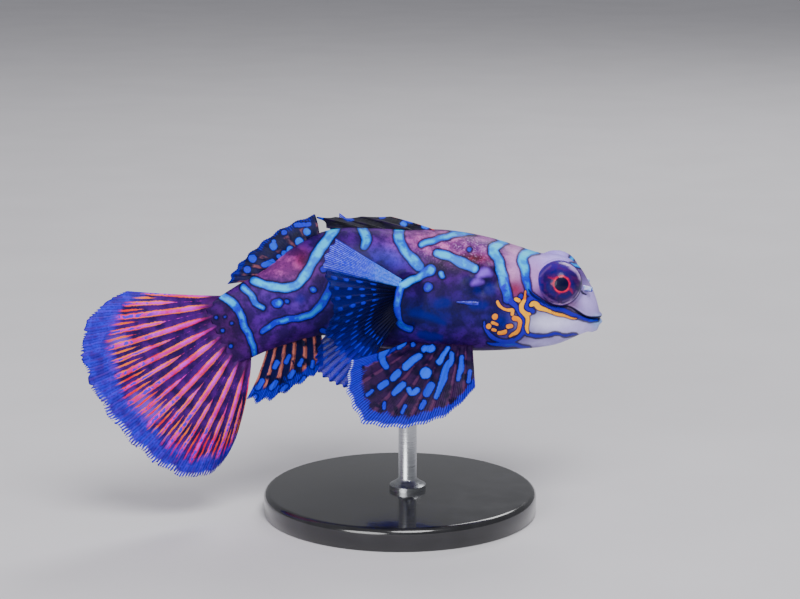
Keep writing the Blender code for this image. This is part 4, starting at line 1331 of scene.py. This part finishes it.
paint = spotted_paint(
    "pelvic fin paint", gaps, ((18, 9, 40), (46, 26, 62)), (74, 42, 74), (0.13, 0.2, 0.8),
    ((50, 0, 120), (60, 20, 214)), ((30, 20, 190), (60, 134, 250)),
)
for word, side in BOTH_SIDES:
    spotted_fin(
        f"pelvic_fin_{word}", f"fin_pelvic_{word}", side, a, t, pelvic_places, gaps, False,
        PELVIC_SPOTS, edge, paint, 0.2, 0.36,
    )


# The stand: a polished black acrylic base and a brushed steel rod with a cradle under the belly.
# Both are turned shapes; the rod's collar sits on the base and its cradle meets the skin.
BASE_RADIUS = 18.0
BASE_HEIGHT = 3.0
BASE_BEVEL = 0.8
ROD_X = 1.0
ROD_RADIUS = 1.2
CRADLE_RADIUS = 2.4
CRADLE_RIM = 0.36
CRADLE_HEIGHT = 1.2
COLLAR_HEIGHTS = (0.6, 1.0)
TURN_STEPS = 128


def turned_piece(name, profile, centre_x, paint, slot, node):
    """A solid turned about a vertical axis from a profile of radius and height."""
    bm = bmesh.new()
    verts = [bm.verts.new((centre_x + radius, 0.0, height)) for radius, height in profile]
    edges = [bm.edges.new(pair) for pair in zip(verts, verts[1:])]
    bmesh.ops.spin(
        bm, geom=[*verts, *edges], cent=(centre_x, 0.0, 0.0), axis=(0.0, 0.0, 1.0),
        angle=2 * math.pi, steps=TURN_STEPS, use_merge=True,
    )
    bmesh.ops.remove_doubles(bm, verts=bm.verts, dist=0.0001)
    small_piece(name, bm, paint, slot, node)


def rounded(corner_radius, corner_height, radius, steps=8):
    """A quarter round that turns from a flat top into a wall."""
    middle, level = corner_radius - radius, corner_height - radius
    return [
        (middle + radius * math.sin(angle), level + radius * math.cos(angle))
        for angle in np.linspace(0.0, math.pi / 2, steps)
    ]


base_paint, tree, shader = new_material("black acrylic", roughness=0.18, coat=0.6)
wear = noise(tree, 300, 4)
put(tree, shader, "Base Color", wear.rise(0.3, 0.7).tint((22, 22, 24), (34, 34, 37)))
put(tree, shader, "Roughness", wear.rise(0.3, 0.7) * 0.10 + 0.14)
rod_paint, tree, shader = new_material("brushed steel", roughness=0.3, metallic=1.0)
place = add_node(tree, "ShaderNodeTexCoord", {}, {}, "Object")
inputs = {"Vector": place, "Scale": (400.0, 400.0, 9000.0)}
stretched = add_node(tree, "ShaderNodeMapping", {}, inputs)
grain = add_node(tree, "ShaderNodeTexNoise", {}, {"Vector": stretched, "Scale": 1.0, "Detail": 3.0})
put(tree, shader, "Base Color", grain.tint((150, 152, 156), (205, 207, 210)))
put(tree, shader, "Roughness", grain * 0.2 + 0.2)
put_bump(tree, shader, grain, 0.15, 0.00003)
turned_piece(
    "stand_base_top",
    [(0.0, BASE_HEIGHT), *rounded(BASE_RADIUS, BASE_HEIGHT, BASE_BEVEL), (BASE_RADIUS, 0.15),
     (BASE_RADIUS - 0.15, 0.0), (0.0, 0.0)],
    0.0, base_paint, "base", "stand_base",
)
belly = body_places(np.array(ROD_X), np.array(-90.0))[2]
cradle = belly + 0.15
turned_piece(
    "stand_rod_full",
    [(0.0, cradle), (CRADLE_RADIUS - 0.1, cradle), (CRADLE_RADIUS, cradle - 0.1),
     (CRADLE_RADIUS, belly - CRADLE_RIM - 0.3), (ROD_RADIUS + 0.15, belly - CRADLE_HEIGHT - 0.2),
     (ROD_RADIUS, belly - CRADLE_HEIGHT - 0.45),
     (ROD_RADIUS, BASE_HEIGHT + COLLAR_HEIGHTS[1] + 0.5),
     (ROD_RADIUS + 0.2, BASE_HEIGHT + COLLAR_HEIGHTS[1] + 0.2),
     (ROD_RADIUS * 2, BASE_HEIGHT + 0.6), (ROD_RADIUS * 2, BASE_HEIGHT - 0.1),
     (0.0, BASE_HEIGHT - 0.1)],
    ROD_X, rod_paint, "rod", "stand_rod",
)


# The studio: a plain pale floor and three soft lights, which aren't part of the model.
# The light is white, with the key high on the fish's right and a fill from the camera's side.
FLOOR_SIZE = 4.0

bm = bmesh.new()
bmesh.ops.create_grid(bm, x_segments=2, y_segments=2, size=FLOOR_SIZE / 2)
floor = in_scene("floor", made_mesh("floor", bm))
floor_paint, tree, shader = new_material("floor paper", roughness=0.9)
colour = noise(tree, 40, 3).rise(0.3, 0.7).tint((216, 214, 218), (220, 218, 222))
put(tree, shader, "Base Color", colour)
floor.data.materials.append(floor_paint)


def soft_light(name, place, size, power, look=(0.0, 0.0, 0.028)):
    data = bpy.data.lights.new(name, "AREA")
    data.shape = "DISK"
    data.size = size
    data.energy = power
    light = in_scene(name, data)
    light.location = place
    light.rotation_euler = (Vector(look) - Vector(place)).to_track_quat("-Z", "Y").to_euler()


soft_light("key", (0.08, -0.34, 0.46), 0.28, 2.6)
soft_light("fill", (-0.30, -0.55, 0.16), 0.40, 3.2)
soft_light("rim", (0.15, 0.35, 0.40), 0.25, 1.2)
world = bpy.data.worlds.new("studio")
bpy.context.scene.world = world
world.use_nodes = True
world.node_tree.nodes["Background"].inputs["Color"].default_value = (0.86, 0.87, 0.92, 1.0)
world.node_tree.nodes["Background"].inputs["Strength"].default_value = 0.32
